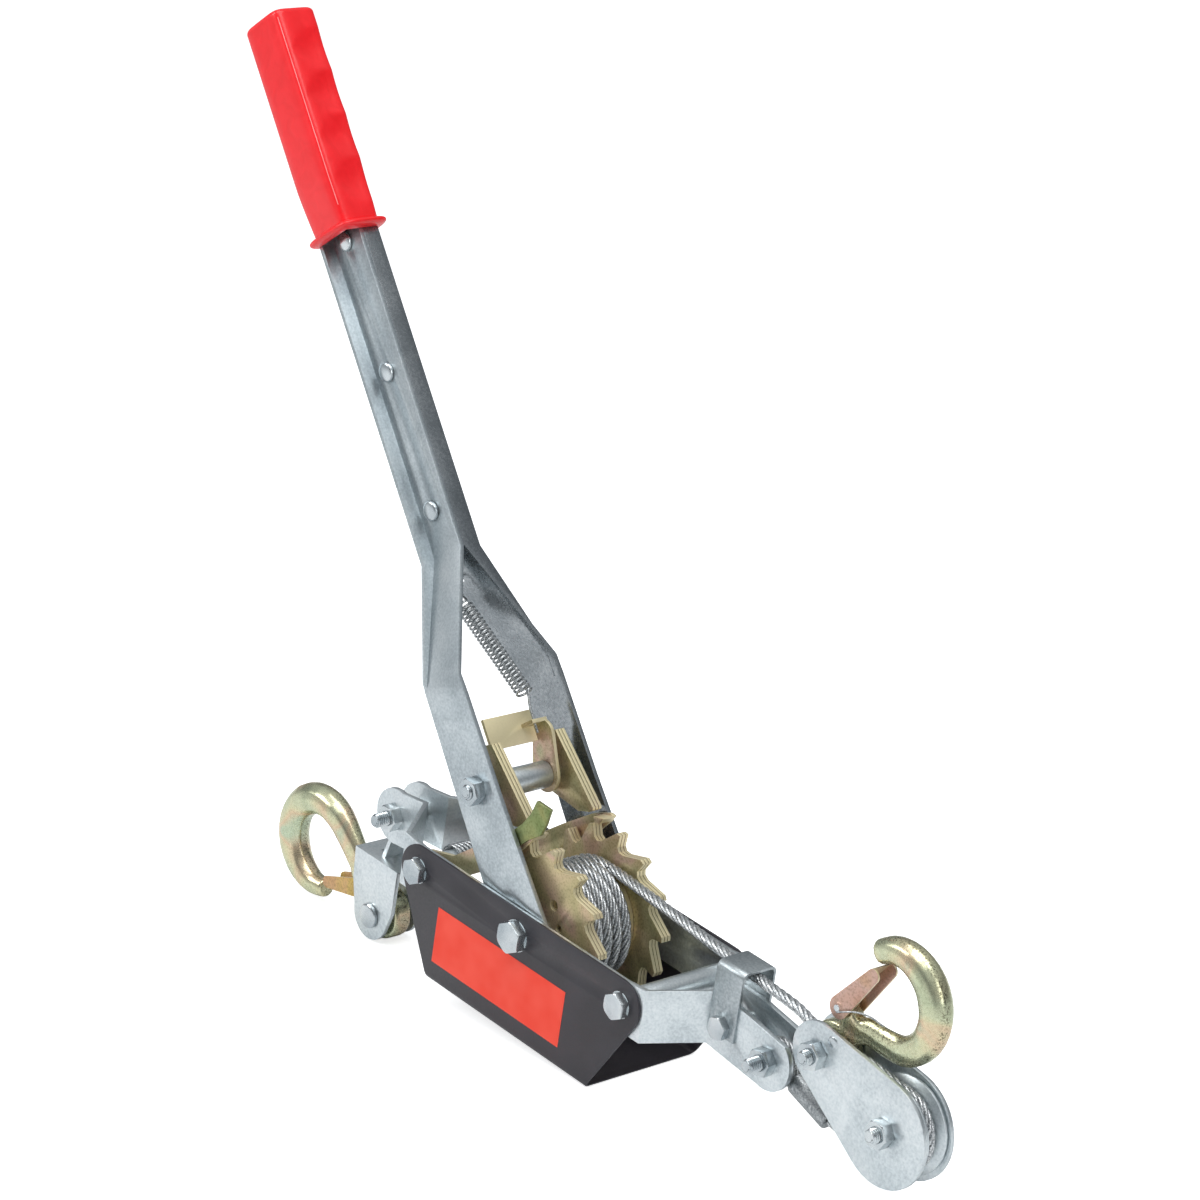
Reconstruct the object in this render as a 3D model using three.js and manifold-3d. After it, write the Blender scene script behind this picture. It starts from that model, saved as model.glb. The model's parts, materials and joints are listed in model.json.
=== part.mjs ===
// A hand-operated come along winch: lever handle, toothed wheels, cable drum,
// pulley block and two latched hooks. Millimetres, +Z up, +X towards the pulley
// block, -Y towards the side with the coloured sticker.
// The frame lies nose down by FRAME_TILT, resting on the front lower edge of its
// cover and on the rear hook, and the origin is at the middle of the cover's
// underside.

import * as THREE from 'three';
import { mergeVertices } from 'three/addons/utils/BufferGeometryUtils.js';
import Module from 'manifold-3d';

const wasm = await Module();
wasm.setup();

// ---------------------------------------------------------------- sizes

const CLEARANCE = 0.3;          // gap between parts that touch
const SHAFT_CLEARANCE = 0.3;    // radial gap round every bolt and pin
const SLIDE_CLEARANCE = 0.5;    // gap between parts that move past each other
const FRAME_TILT = 6;           // degrees, nose down

// cover and side plates
const COVER_HALF_WIDTH = 39;
const COVER_SHEET = 1.5;
const COVER_BEND = 4;
const COVER_DEPTH = 57;         // axle centre down to the underside
const COVER_TOP = 14;           // axle centre up to the top edge
const COVER_FOOT_HALF = 64;     // half the length of the underside
const CROSS_BOLT_SPACING = 82;  // axle to either cross bolt
const PLATE_SHEET = 3;
const PLATE_HALF_HEIGHT = 15;
const EAR_GAP = 14;             // between the two plates at each end
const BEND_START = 97;          // axle to where the plates turn inward
const BEND_LENGTH = 20;
const FRONT_EAR_X = 160;
const REAR_EAR_X = 139;
const EAR_RADIUS = 16;

// fasteners
const M10 = { shank: 5, head: 9.2, headHeight: 6.4, nutHeight: 8 };
const M8 = { shank: 4, head: 7.6, headHeight: 5.3, nutHeight: 6.5 };
const THREAD_END = 4;           // thread standing proud of its nut
const THREAD_END_LONG = 8;

// wheels and drum
const WHEEL_RADIUS = 48;
const WHEEL_ROOT_RADIUS = 39;
const TOOTH_COUNT = 14;
const TOOTH_PHASE = 108.7;      // degrees, tip of the first tooth
const PLY = 2.2;                // sheet of the wheels and pawls
const PLY_COUNT = 3;
const DRUM_HALF_WIDTH = 18.7;
const CABLE_DIAMETER = 6;
const WINDING_GAP = 0.5;        // least gap between neighbouring turns
const DRUM_CORE_RADIUS = 26.5;
const CABLE_HOLE_DEPTH = 16;

// handle
const HANDLE_LEAN = 39.3;       // degrees from square to the frame, towards the rear
const HANDLE_SHEET = 2.5;
const HANDLE_TOP = 500;
const BAR_LEFT = -18;
const BAR_RIGHT = 9;
const FLANGE_DEPTH = 8;
const SPLAY_TOP = 206;
const SPLAY_FOOT = 138;
const STEP_HEIGHT = 127;
const PALM_LEFT = -18;
const PALM_RIGHT = 14;
const FOOT_RADIUS = 18.5;
const GRIP_LENGTH = 126;
const GRIP_FOOT = HANDLE_TOP + 12 - GRIP_LENGTH;
const GRIP_WALL = 3.2;
const GRIP_FINGERS = 4;
const FINGER_DEPTH = 2.6;
const COLLAR_HEIGHT = 6;
const COLLAR_PROUD = 5;
const RIVET_HEIGHTS = [230, 309, 384];
const RIVET_ACROSS = -5;

// drive pawls
const PAWL_PIVOT = [-1, 78.5];    // across and along the handle from the axle
const PAWL_REACH = 34.4;
const PAWL_REST_ANGLE = 39;     // degrees, from the handle's own line
const PAWL_BACK_RADIUS = 11;
const CARRIER_CHEEK = 13;       // centre plane to the carrier's cheek
const SLEEVE_RADIUS = 7.4;
const CARRIER_SHEET = 2;
const CARRIER_TOP = 35;        // pivot up to the top of the carrier's web
const SHELF_TOP = 28;          // pivot up to the shelf that takes the spring
const SPRING_EYE = [9, -3.5];  // the spring's hook, along the shelf and in from the cheek

// holding pawls
const HOLD_TIP_RADIUS = 44.5;   // where the tip stands when it is engaged
const HOLD_TIP_TOP = 48;
const HOLD_SHEET = 2.5;
const HOLD_RELEASE = 2.8;       // degrees that the pawls are lifted clear of the teeth
const HOLD_TUBE_RADIUS = 6.5;
const LEVER_SHEET = 2.2;

// springs
const PAWL_SPRING = { wire: 0.7, coil: 4.2, turns: 24, top: 178, foot: 121.5 };
const TORSION_SPRING = { wire: 1, coil: 8.4, turns: 7, pitch: 2.7 };

// hooks
const HOOK_EYE_RADIUS = 15;
const HOOK_EYE_HALF = 5.6;
const REAR_BOWL = [-209, -50.4];
const REAR_BOWL_RADIUS = 26;
const FRONT_BOWL = [225, 62.5];
const FRONT_BOWL_RADIUS = 25;
const FRONT_HOOK_SIDE = 3.6;    // the front hook stands beside the cable
const FRONT_EYE_HALF = 4.1;
const LATCH_SHEET = 1.2;
const LATCH_HALF = 5.6;         // middle to the inside of a latch's cheek
const LUG_RADIUS = 4.4;
const LATCH_RIVET = 1.6;
const REAR_LATCH_PIN = [-168, -58];
const REAR_LATCH_TIP = [-193, -66];
const FRONT_LATCH_PIN = [194, 45];
const FRONT_LATCH_TIP = [212, 71];

// rear hook hanger
const HANGER_SHEET = 2.5;
const HANGER_GAP = 19;          // between the two ears
const HANGER_PIN = [-147, -64];
const HANGER_WEB_TOP = -29.6;
const HANGER_REAR = -166;       // ends of the ears' upper edge
const HANGER_FRONT = -129;

// pulley block
const BLOCK_GAP = 16;
const BLOCK_SHEET = 2.5;
const HOOK_PIN = [192, 20];
const SHEAVE_PIN = [243, 3];
const BLOCK_SMALL_RADIUS = 17;
const BLOCK_LARGE_END = [241.5, 1.8];
const BLOCK_LARGE_RADIUS = 28.5;
const SHEAVE_WIDTH = 14;
const SHEAVE_RADIUS = 25.6;
const SHEAVE_CABLE_RADIUS = 20; // axle to the middle of the cable

// cable
const CABLE_SIDE = -4.3;        // the cable runs beside the hook's eye
const CABLE_SIDES = 8;
const FERRULE_FROM = [172, -8];
const FERRULE_TO = [199, -16.2];
const GUIDE_X = 127.4;
const GUIDE_LENGTH = 19;
const GUIDE_SHEET = 1.5;
const GUIDE_TOP = 37;
const GUIDE_FOOT = -2;
const GUIDE_SCREW = { shank: 3, head: 6.6, headHeight: 4.4, nutHeight: 0, height: 3, end: 2.5 };

// ---------------------------------------------------------------- helpers

const radians = THREE.MathUtils.degToRad;
const CABLE_RADIUS = CABLE_DIAMETER / 2;
const PLATE_OUTER = COVER_HALF_WIDTH - COVER_SHEET;
const PLATE_INNER = PLATE_OUTER - PLATE_SHEET;
const HANDLE_OUTER = PLATE_INNER - SLIDE_CLEARANCE;
const HANDLE_INNER = HANDLE_OUTER - HANDLE_SHEET;
const WHEEL_INNER = DRUM_HALF_WIDTH;
const WHEEL_OUTER = WHEEL_INNER + PLY * PLY_COUNT;
const HOLD_PIVOT = [-CROSS_BOLT_SPACING, 0];
const SPRING_HOLE = [-11, 192];

/** Where the handle's rear web stands, out from the middle, at a height up the handle. */
function splayAt(height) {
  return HANDLE_INNER * (SPLAY_TOP - height) / (SPLAY_TOP - SPLAY_FOOT);
}

const steelZinc = new THREE.MeshStandardMaterial({ color: '#c9d0d4', metalness: 0.9, roughness: 0.35 });
const yellowZinc = new THREE.MeshStandardMaterial({ color: '#b9aa72', metalness: 0.85, roughness: 0.4 });
const blackPaint = new THREE.MeshStandardMaterial({ color: '#37353a', metalness: 0.1, roughness: 0.45 });
const redGrip = new THREE.MeshStandardMaterial({ color: '#ee2b33', metalness: 0, roughness: 0.35 });
const cableSteel = new THREE.MeshStandardMaterial({ color: '#b7b9ba', metalness: 0.9, roughness: 0.4 });

/** Turns a three.js geometry into a manifold solid. */
function solid(geometry) {
  const bare = new THREE.BufferGeometry();
  bare.setAttribute('position', geometry.getAttribute('position'));
  if (geometry.index) {
    bare.setIndex(geometry.index);
  }
  const merged = mergeVertices(bare, 1e-4);
  return new wasm.Manifold(new wasm.Mesh({
    numProp: 3,
    vertProperties: new Float32Array(merged.getAttribute('position').array),
    triVerts: new Uint32Array(merged.index.array),
  }));
}

/** Turns a manifold solid back into a three.js geometry. */
function geometryOf(body) {
  const mesh = body.getMesh();
  const geometry = new THREE.BufferGeometry();
  geometry.setAttribute('position', new THREE.BufferAttribute(mesh.vertProperties, 3));
  geometry.setIndex(new THREE.BufferAttribute(mesh.triVerts, 1));
  geometry.computeVertexNormals();
  return geometry;
}

/** Joins any number of solids. */
function join(...bodies) {
  return bodies.reduce((whole, body) => whole.add(body));
}

/** Cuts any number of solids out of the first. */
function cut(body, ...tools) {
  return tools.reduce((left, tool) => left.subtract(tool), body);
}

const AXES_ACROSS = new THREE.Matrix4().makeBasis(
  new THREE.Vector3(1, 0, 0), new THREE.Vector3(0, 0, 1), new THREE.Vector3(0, -1, 0));
const AXES_ALONG = new THREE.Matrix4().makeBasis(
  new THREE.Vector3(0, 1, 0), new THREE.Vector3(0, 0, 1), new THREE.Vector3(1, 0, 0));

/** A plate of an X-Z outline, between two Y values. */
function plateAcross(shape, yLow, yHigh, curveSegments = 8) {
  const geometry = new THREE.ExtrudeGeometry(shape, { depth: yHigh - yLow, bevelEnabled: false, curveSegments });
  geometry.applyMatrix4(AXES_ACROSS);
  geometry.translate(0, yHigh, 0);
  return solid(geometry);
}

/** A bar of a Y-Z outline, between two X values. */
function barAlong(shape, xLow, xHigh, curveSegments = 4) {
  const geometry = new THREE.ExtrudeGeometry(shape, { depth: xHigh - xLow, bevelEnabled: false, curveSegments });
  geometry.applyMatrix4(AXES_ALONG);
  geometry.translate(xLow, 0, 0);
  return solid(geometry);
}

/** A slab of an X-Y outline, between two Z values. */
function slabUp(shape, zLow, zHigh) {
  const geometry = new THREE.ExtrudeGeometry(shape, { depth: zHigh - zLow, bevelEnabled: false, curveSegments: 6 });
  geometry.translate(0, 0, zLow);
  return solid(geometry);
}

/** A straight-sided outline through the given points. */
function outline(points) {
  return new THREE.Shape(points.map(([x, y]) => new THREE.Vector2(x, y)));
}

/** A rod along Y at (x, z). */
function rod(radius, x, z, yLow, yHigh, sides = 20) {
  const geometry = new THREE.CylinderGeometry(radius, radius, yHigh - yLow, sides);
  geometry.translate(x, (yLow + yHigh) / 2, z);
  return solid(geometry);
}

/** A six-sided prism along Y at (x, z), with two corners up and down. */
function hexPrism(radius, x, z, yLow, yHigh) {
  const geometry = new THREE.CylinderGeometry(radius, radius, yHigh - yLow, 6);
  geometry.rotateY(radians(30));
  geometry.translate(x, (yLow + yHigh) / 2, z);
  return solid(geometry);
}

/** A tube along Y at (x, z). */
function sleeve(outer, inner, x, z, yLow, yHigh) {
  return cut(rod(outer, x, z, yLow, yHigh), rod(inner, x, z, yLow - 1, yHigh + 1));
}

/** The outline round two circles joined by their outer tangents. */
function linkShape(from, radiusFrom, to, radiusTo) {
  const along = Math.atan2(to[1] - from[1], to[0] - from[0]);
  const length = Math.hypot(to[0] - from[0], to[1] - from[1]);
  const lean = Math.acos((radiusFrom - radiusTo) / length);
  const shape = new THREE.Shape();
  shape.absarc(from[0], from[1], radiusFrom, along + lean, along - lean + 2 * Math.PI, false);
  shape.absarc(to[0], to[1], radiusTo, along - lean, along + lean, false);
  shape.closePath();
  return shape;
}

/** A flat point at a radius and an angle in degrees round a centre. */
function polar(radius, angle, centre = [0, 0]) {
  return [centre[0] + radius * Math.cos(radians(angle)), centre[1] + radius * Math.sin(radians(angle))];
}

/**
 * A closed tube along 3-D points, joined in one geometry. Each point has a
 * radius, or a pair: across (along Y on a flat curve) and in the curve's plane.
 */
function tubeThrough(points, radii, sides) {
  const count = points.length;
  const tangents = points.map((point, i) => points[Math.min(i + 1, count - 1)].clone()
    .sub(points[Math.max(i - 1, 0)]).normalize());
  let normal = new THREE.Vector3(0, 1, 0);
  if (Math.abs(tangents[0].y) > 0.9) {
    normal.set(1, 0, 0);
  }
  const positions = [];
  const indices = [];
  for (let i = 0; i < count; i += 1) {
    normal = normal.clone().addScaledVector(tangents[i], -normal.dot(tangents[i])).normalize();
    const side = new THREE.Vector3().crossVectors(tangents[i], normal);
    const [across, within] = Array.isArray(radii[i]) ? radii[i] : [radii[i], radii[i]];
    for (let k = 0; k < sides; k += 1) {
      const angle = (2 * Math.PI * k) / sides;
      const corner = points[i].clone()
        .addScaledVector(normal, across * Math.cos(angle))
        .addScaledVector(side, within * Math.sin(angle));
      positions.push(corner.x, corner.y, corner.z);
    }
  }
  for (let i = 0; i + 1 < count; i += 1) {
    for (let k = 0; k < sides; k += 1) {
      const next = (k + 1) % sides;
      const a = i * sides + k;
      const b = i * sides + next;
      indices.push(a, b, b + sides, a, b + sides, a + sides);
    }
  }
  for (let k = 1; k + 1 < sides; k += 1) {
    const last = (count - 1) * sides;
    indices.push(0, k + 1, k, last, last + k, last + k + 1);
  }
  const geometry = new THREE.BufferGeometry();
  geometry.setAttribute('position', new THREE.Float32BufferAttribute(positions, 3));
  geometry.setIndex(indices);
  geometry.computeVertexNormals();
  return geometry;
}

/** Evenly spaced points along a smooth curve through [x, y, z] points. */
function smoothRoute(points, steps) {
  const curve = new THREE.CatmullRomCurve3(points.map((point) => new THREE.Vector3(...point)), false, 'centripetal');
  return curve.getSpacedPoints(steps);
}

/** A plain cable along [x, y, z] points. */
function cableAlong(points, steps) {
  const route = smoothRoute(points, steps);
  return tubeThrough(route, route.map(() => CABLE_RADIUS), CABLE_SIDES);
}

/** Adds a named mesh to a group. */
function add(group, name, body, material) {
  const geometry = body.isBufferGeometry ? body : geometryOf(body);
  const mesh = new THREE.Mesh(geometry, material.clone());
  mesh.name = name;
  group.add(mesh);
  return mesh;
}

/**
 * A bolt along Y: its head lies on seatY, and its end passes the nut that
 * lies on nutY. Both Y values are the faces that it clamps.
 */
function bolt(size, x, z, seatY, nutY, threadEnd) {
  const away = Math.sign(nutY - seatY);
  const headEnd = seatY - away * size.headHeight;
  const tip = nutY + away * (size.nutHeight + threadEnd);
  const head = hexPrism(size.head, x, z, Math.min(seatY, headEnd), Math.max(seatY, headEnd));
  const root = seatY - away * size.headHeight / 2;
  const shank = rod(size.shank, x, z, Math.min(root, tip), Math.max(root, tip));
  return join(head, shank);
}

/** The nut of a bolt, lying on nutY away from seatY. */
function nut(size, x, z, seatY, nutY) {
  const away = Math.sign(nutY - seatY);
  const far = nutY + away * size.nutHeight;
  const low = Math.min(nutY, far);
  const high = Math.max(nutY, far);
  return cut(hexPrism(size.head, x, z, low, high), rod(size.shank + SHAFT_CLEARANCE, x, z, low - 1, high + 1));
}

/** A rivet along Y with two low round heads. */
function rivet(shank, head, headHeight, x, z, yLow, yHigh) {
  const crown = (yFace, away) => {
    const profile = [
      [0, headHeight], [head * 0.6, headHeight * 0.9], [head * 0.9, headHeight * 0.5], [head, 0], [0, 0],
    ].map(([r, h]) => new THREE.Vector2(r, h)).reverse();
    const geometry = new THREE.LatheGeometry(profile, 12);
    if (away < 0) {
      geometry.rotateX(Math.PI);
    }
    geometry.translate(x, yFace, z);
    return solid(geometry);
  };
  return join(rod(shank, x, z, yLow - 0.1, yHigh + 0.1, 12), crown(yLow, -1), crown(yHigh, 1));
}

// ---------------------------------------------------------------- frame

/** The sheet cover: a wide U open at both ends, with round upper corners. */
function cover() {
  const outer = COVER_HALF_WIDTH;
  const inner = outer - COVER_SHEET;
  const floor = -COVER_DEPTH;
  const section = new THREE.Shape();
  section.moveTo(-outer, COVER_TOP + 10);
  section.lineTo(-outer, floor + COVER_BEND);
  section.absarc(-outer + COVER_BEND, floor + COVER_BEND, COVER_BEND, Math.PI, 1.5 * Math.PI, false);
  section.absarc(outer - COVER_BEND, floor + COVER_BEND, COVER_BEND, 1.5 * Math.PI, 2 * Math.PI, false);
  section.lineTo(outer, COVER_TOP + 10);
  section.lineTo(inner, COVER_TOP + 10);
  section.absarc(outer - COVER_BEND, floor + COVER_BEND, COVER_BEND - COVER_SHEET, 0, -0.5 * Math.PI, true);
  section.absarc(-outer + COVER_BEND, floor + COVER_BEND, COVER_BEND - COVER_SHEET, -0.5 * Math.PI, -Math.PI, true);
  section.lineTo(-inner, COVER_TOP + 10);
  section.closePath();
  const length = CROSS_BOLT_SPACING + COVER_TOP + 5;
  const trough = barAlong(section, -length, length);

  const side = new THREE.Shape();
  const reach = Math.hypot(CROSS_BOLT_SPACING - COVER_FOOT_HALF, COVER_DEPTH);
  const fall = Math.atan2(-COVER_DEPTH, COVER_FOOT_HALF - CROSS_BOLT_SPACING);
  const turn = fall + Math.acos(COVER_TOP / reach);
  side.moveTo(-CROSS_BOLT_SPACING, COVER_TOP);
  side.lineTo(CROSS_BOLT_SPACING, COVER_TOP);
  side.absarc(CROSS_BOLT_SPACING, 0, COVER_TOP, Math.PI / 2, turn, true);
  side.lineTo(COVER_FOOT_HALF, floor - 1);
  side.lineTo(-COVER_FOOT_HALF, floor - 1);
  side.absarc(-CROSS_BOLT_SPACING, 0, COVER_TOP, Math.PI - turn, Math.PI / 2, true);
  side.closePath();
  const sides = plateAcross(side, -outer - 1, outer + 1, 8);
  const holes = [-CROSS_BOLT_SPACING, 0, CROSS_BOLT_SPACING].map((x) => rod(
    (x === 0 ? M10.shank : M8.shank) + SHAFT_CLEARANCE, x, 0, -outer - 1, outer + 1));
  return cut(trough.intersect(sides), ...holes);
}

/** One side plate: straight along the cover, drawn in to an ear at each end. */
function framePlate(side) {
  const middle = PLATE_INNER + PLATE_SHEET / 2;
  const earMiddle = EAR_GAP / 2 + PLATE_SHEET / 2;
  const half = PLATE_SHEET / 2;
  const slope = Math.hypot(BEND_LENGTH, middle - earMiddle) / BEND_LENGTH;
  const shift = half * (slope - (middle - earMiddle) / BEND_LENGTH);
  const far = FRONT_EAR_X + EAR_RADIUS + 2;
  const near = REAR_EAR_X + EAR_RADIUS + 2;
  const outerEdge = [
    [-near, earMiddle + half], [-BEND_START - BEND_LENGTH - shift, earMiddle + half],
    [-BEND_START - shift, middle + half], [BEND_START + shift, middle + half],
    [BEND_START + BEND_LENGTH + shift, earMiddle + half], [far, earMiddle + half],
  ];
  const innerEdge = [
    [far, earMiddle - half], [BEND_START + BEND_LENGTH - shift, earMiddle - half],
    [BEND_START - shift, middle - half], [-BEND_START + shift, middle - half],
    [-BEND_START - BEND_LENGTH + shift, earMiddle - half], [-near, earMiddle - half],
  ];
  const plan = outline([...outerEdge, ...innerEdge].map(([x, y]) => [x, side * y]));
  const sheet = slabUp(plan, -40, 40);

  const profile = new THREE.Shape();
  const h = PLATE_HALF_HEIGHT;
  profile.absarc(-REAR_EAR_X, 0, EAR_RADIUS, radians(75), radians(285), false);
  profile.lineTo(-BEND_START - BEND_LENGTH, -h + 1);
  profile.lineTo(-BEND_START, -h);
  profile.lineTo(BEND_START, -h);
  profile.lineTo(BEND_START + BEND_LENGTH, -h + 3.5);
  profile.absarc(FRONT_EAR_X, 0, EAR_RADIUS, radians(-105), radians(50), false);
  profile.lineTo(GUIDE_X + GUIDE_LENGTH / 2, h + 2.5);
  profile.lineTo(BEND_START + BEND_LENGTH, h + 3);
  profile.lineTo(BEND_START, h - CLEARANCE);
  profile.lineTo(CROSS_BOLT_SPACING, h - 2);
  profile.lineTo(-CROSS_BOLT_SPACING, h - 2);
  profile.lineTo(-BEND_START, h);
  profile.lineTo(-BEND_START - BEND_LENGTH, h + 3);
  profile.closePath();
  const low = side > 0 ? 0 : -PLATE_OUTER - 1;
  const high = side > 0 ? PLATE_OUTER + 1 : 0;
  const holes = [
    [-REAR_EAR_X, M8.shank], [-CROSS_BOLT_SPACING, M8.shank], [0, M10.shank],
    [CROSS_BOLT_SPACING, M8.shank], [FRONT_EAR_X, M8.shank],
  ].map(([x, radius]) => rod(radius + SHAFT_CLEARANCE, x, 0, low, high));
  holes.push(rod(GUIDE_SCREW.shank + SHAFT_CLEARANCE, GUIDE_X, GUIDE_SCREW.height, low, high));
  return cut(sheet.intersect(plateAcross(profile, low, high, 8)), ...holes);
}

/** The strap bent over the two plates, which leads the cable. */
function guideStrap() {
  const inner = EAR_GAP / 2 + PLATE_SHEET;
  const outer = inner + GUIDE_SHEET;
  const corner = 4;
  const foot = GUIDE_FOOT;
  const section = new THREE.Shape();
  section.moveTo(-outer, foot);
  section.lineTo(-inner, foot);
  section.lineTo(-inner, GUIDE_TOP - corner);
  section.absarc(-inner + corner - GUIDE_SHEET, GUIDE_TOP - corner, corner - GUIDE_SHEET, Math.PI, Math.PI / 2, true);
  section.absarc(inner - corner + GUIDE_SHEET, GUIDE_TOP - corner, corner - GUIDE_SHEET, Math.PI / 2, 0, true);
  section.lineTo(inner, foot);
  section.lineTo(outer, foot);
  section.lineTo(outer, GUIDE_TOP - corner);
  section.absarc(outer - corner, GUIDE_TOP - corner, corner, 0, Math.PI / 2, false);
  section.absarc(-outer + corner, GUIDE_TOP - corner, corner, Math.PI / 2, Math.PI, false);
  section.closePath();
  const strap = barAlong(section, GUIDE_X - GUIDE_LENGTH / 2, GUIDE_X + GUIDE_LENGTH / 2);
  return cut(strap, rod(GUIDE_SCREW.shank + SHAFT_CLEARANCE, GUIDE_X, GUIDE_SCREW.height, -outer - 1, outer + 1));
}

// ---------------------------------------------------------------- drum

/** One sheet of a toothed wheel: each tooth is steep on its clockwise side. */
function wheelPly(yLow) {
  const pitch = 360 / TOOTH_COUNT;
  const points = [];
  for (let i = 0; i < TOOTH_COUNT; i += 1) {
    const tip = TOOTH_PHASE - i * pitch;
    points.push(polar(WHEEL_RADIUS, tip + 3.4));
    points.push(polar(WHEEL_RADIUS, tip));
    points.push(polar(WHEEL_ROOT_RADIUS + 2, tip - 0.2));
    points.push(polar(WHEEL_ROOT_RADIUS, tip - 3));
    points.push(polar(WHEEL_ROOT_RADIUS + 0.4, tip - 8));
  }
  const ply = plateAcross(outline(points), yLow, yLow + PLY);
  const bore = rod(M10.shank + SHAFT_CLEARANCE, 0, 0, yLow - 1, yLow + PLY + 1);
  const cableHole = rod(3, ...polar(21.5, 62), yLow - 1, yLow + PLY + 1, 16);
  const pinHole = rod(2.2, ...polar(18, 27), yLow - 1, yLow + PLY + 1, 16);
  return cut(ply, bore, cableHole, pinHole);
}

const WINDING_RADIUS = DRUM_CORE_RADIUS + CLEARANCE + CABLE_RADIUS;
const WINDING_PITCH = CABLE_DIAMETER + WINDING_GAP;
const WINDING_FIRST = -DRUM_HALF_WIDTH + CLEARANCE + CABLE_RADIUS;
const WINDING_LAST = DRUM_HALF_WIDTH - CLEARANCE - CABLE_RADIUS;
const WINDING_TURNS = (WINDING_LAST - WINDING_FIRST) / WINDING_PITCH;
const LEAD_SIDE = WINDING_LAST;

/** The centre line of the turns on the drum, out of the core and off at the top. */
function windingRoute() {
  const stepsPerTurn = 24;
  const steps = Math.round(WINDING_TURNS * stepsPerTurn);
  const points = [];
  const endAngle = 90;
  const startAngle = endAngle - WINDING_TURNS * 360;
  const bendAngle = 16;
  const [startX, startZ] = polar(1, startAngle - bendAngle);
  const rise = [WINDING_RADIUS - 12, WINDING_RADIUS - 9, WINDING_RADIUS - 6, WINDING_RADIUS - 3.4];
  for (const radius of rise) {
    points.push(new THREE.Vector3(startX * radius, WINDING_FIRST, startZ * radius));
  }
  for (const [part, radius] of [[0.7, 1.5], [0.4, 0.5]]) {
    const [x, z] = polar(WINDING_RADIUS - radius, startAngle - bendAngle * part);
    points.push(new THREE.Vector3(x, WINDING_FIRST, z));
  }
  for (let i = 0; i <= steps; i += 1) {
    const part = i / steps;
    const [x, z] = polar(WINDING_RADIUS, startAngle + part * WINDING_TURNS * 360);
    points.push(new THREE.Vector3(x, WINDING_FIRST + part * (WINDING_LAST - WINDING_FIRST), z));
  }
  return { points, startAngle: startAngle - bendAngle };
}

/** The least gap between parts of one tube that lie more than skip steps apart. */
function leastSelfGap(points, radius, skip) {
  let least = Infinity;
  for (let i = 0; i < points.length; i += 1) {
    for (let k = i + skip; k < points.length; k += 1) {
      least = Math.min(least, points[i].distanceTo(points[k]) - 2 * radius);
    }
  }
  return least;
}

/** Reverses a route that winds clockwise, so it ends where the cable leaves. */
function cableWinding() {
  const { points } = windingRoute();
  const mirrored = points.map((point) => new THREE.Vector3(-point.x, point.y, point.z));
  const last = mirrored[mirrored.length - 1];
  mirrored.push(new THREE.Vector3(last.x + CABLE_DIAMETER / 2, last.y, last.z));
  mirrored.push(new THREE.Vector3(last.x + CABLE_DIAMETER, last.y, last.z));
  console.log('least gap in the winding', leastSelfGap(mirrored, CABLE_RADIUS, 12).toFixed(2));
  return tubeThrough(mirrored, mirrored.map(() => CABLE_RADIUS), 6);
}

/** The plain core under the turns, with the hole that the cable comes out of. */
function drumCore() {
  const { startAngle } = windingRoute();
  const core = rod(DRUM_CORE_RADIUS, 0, 0, -DRUM_HALF_WIDTH, DRUM_HALF_WIDTH, 40);
  const hole = new THREE.CylinderGeometry(CABLE_RADIUS + 0.8, CABLE_RADIUS + 0.8, CABLE_HOLE_DEPTH, 20);
  hole.translate(0, DRUM_CORE_RADIUS - CABLE_HOLE_DEPTH / 2 + 3, 0);
  const mouth = new THREE.SphereGeometry(CABLE_RADIUS + 2.6, 20, 12);
  mouth.translate(0, DRUM_CORE_RADIUS + 1.5, 0);
  for (const tool of [hole, mouth]) {
    tool.rotateX(Math.PI / 2);
    tool.rotateY(radians(startAngle - 90));
    tool.translate(0, WINDING_FIRST, 0);
  }
  return cut(core, rod(M10.shank + SHAFT_CLEARANCE, 0, 0, -40, 40), solid(hole), solid(mouth));
}

// ---------------------------------------------------------------- handle

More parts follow.
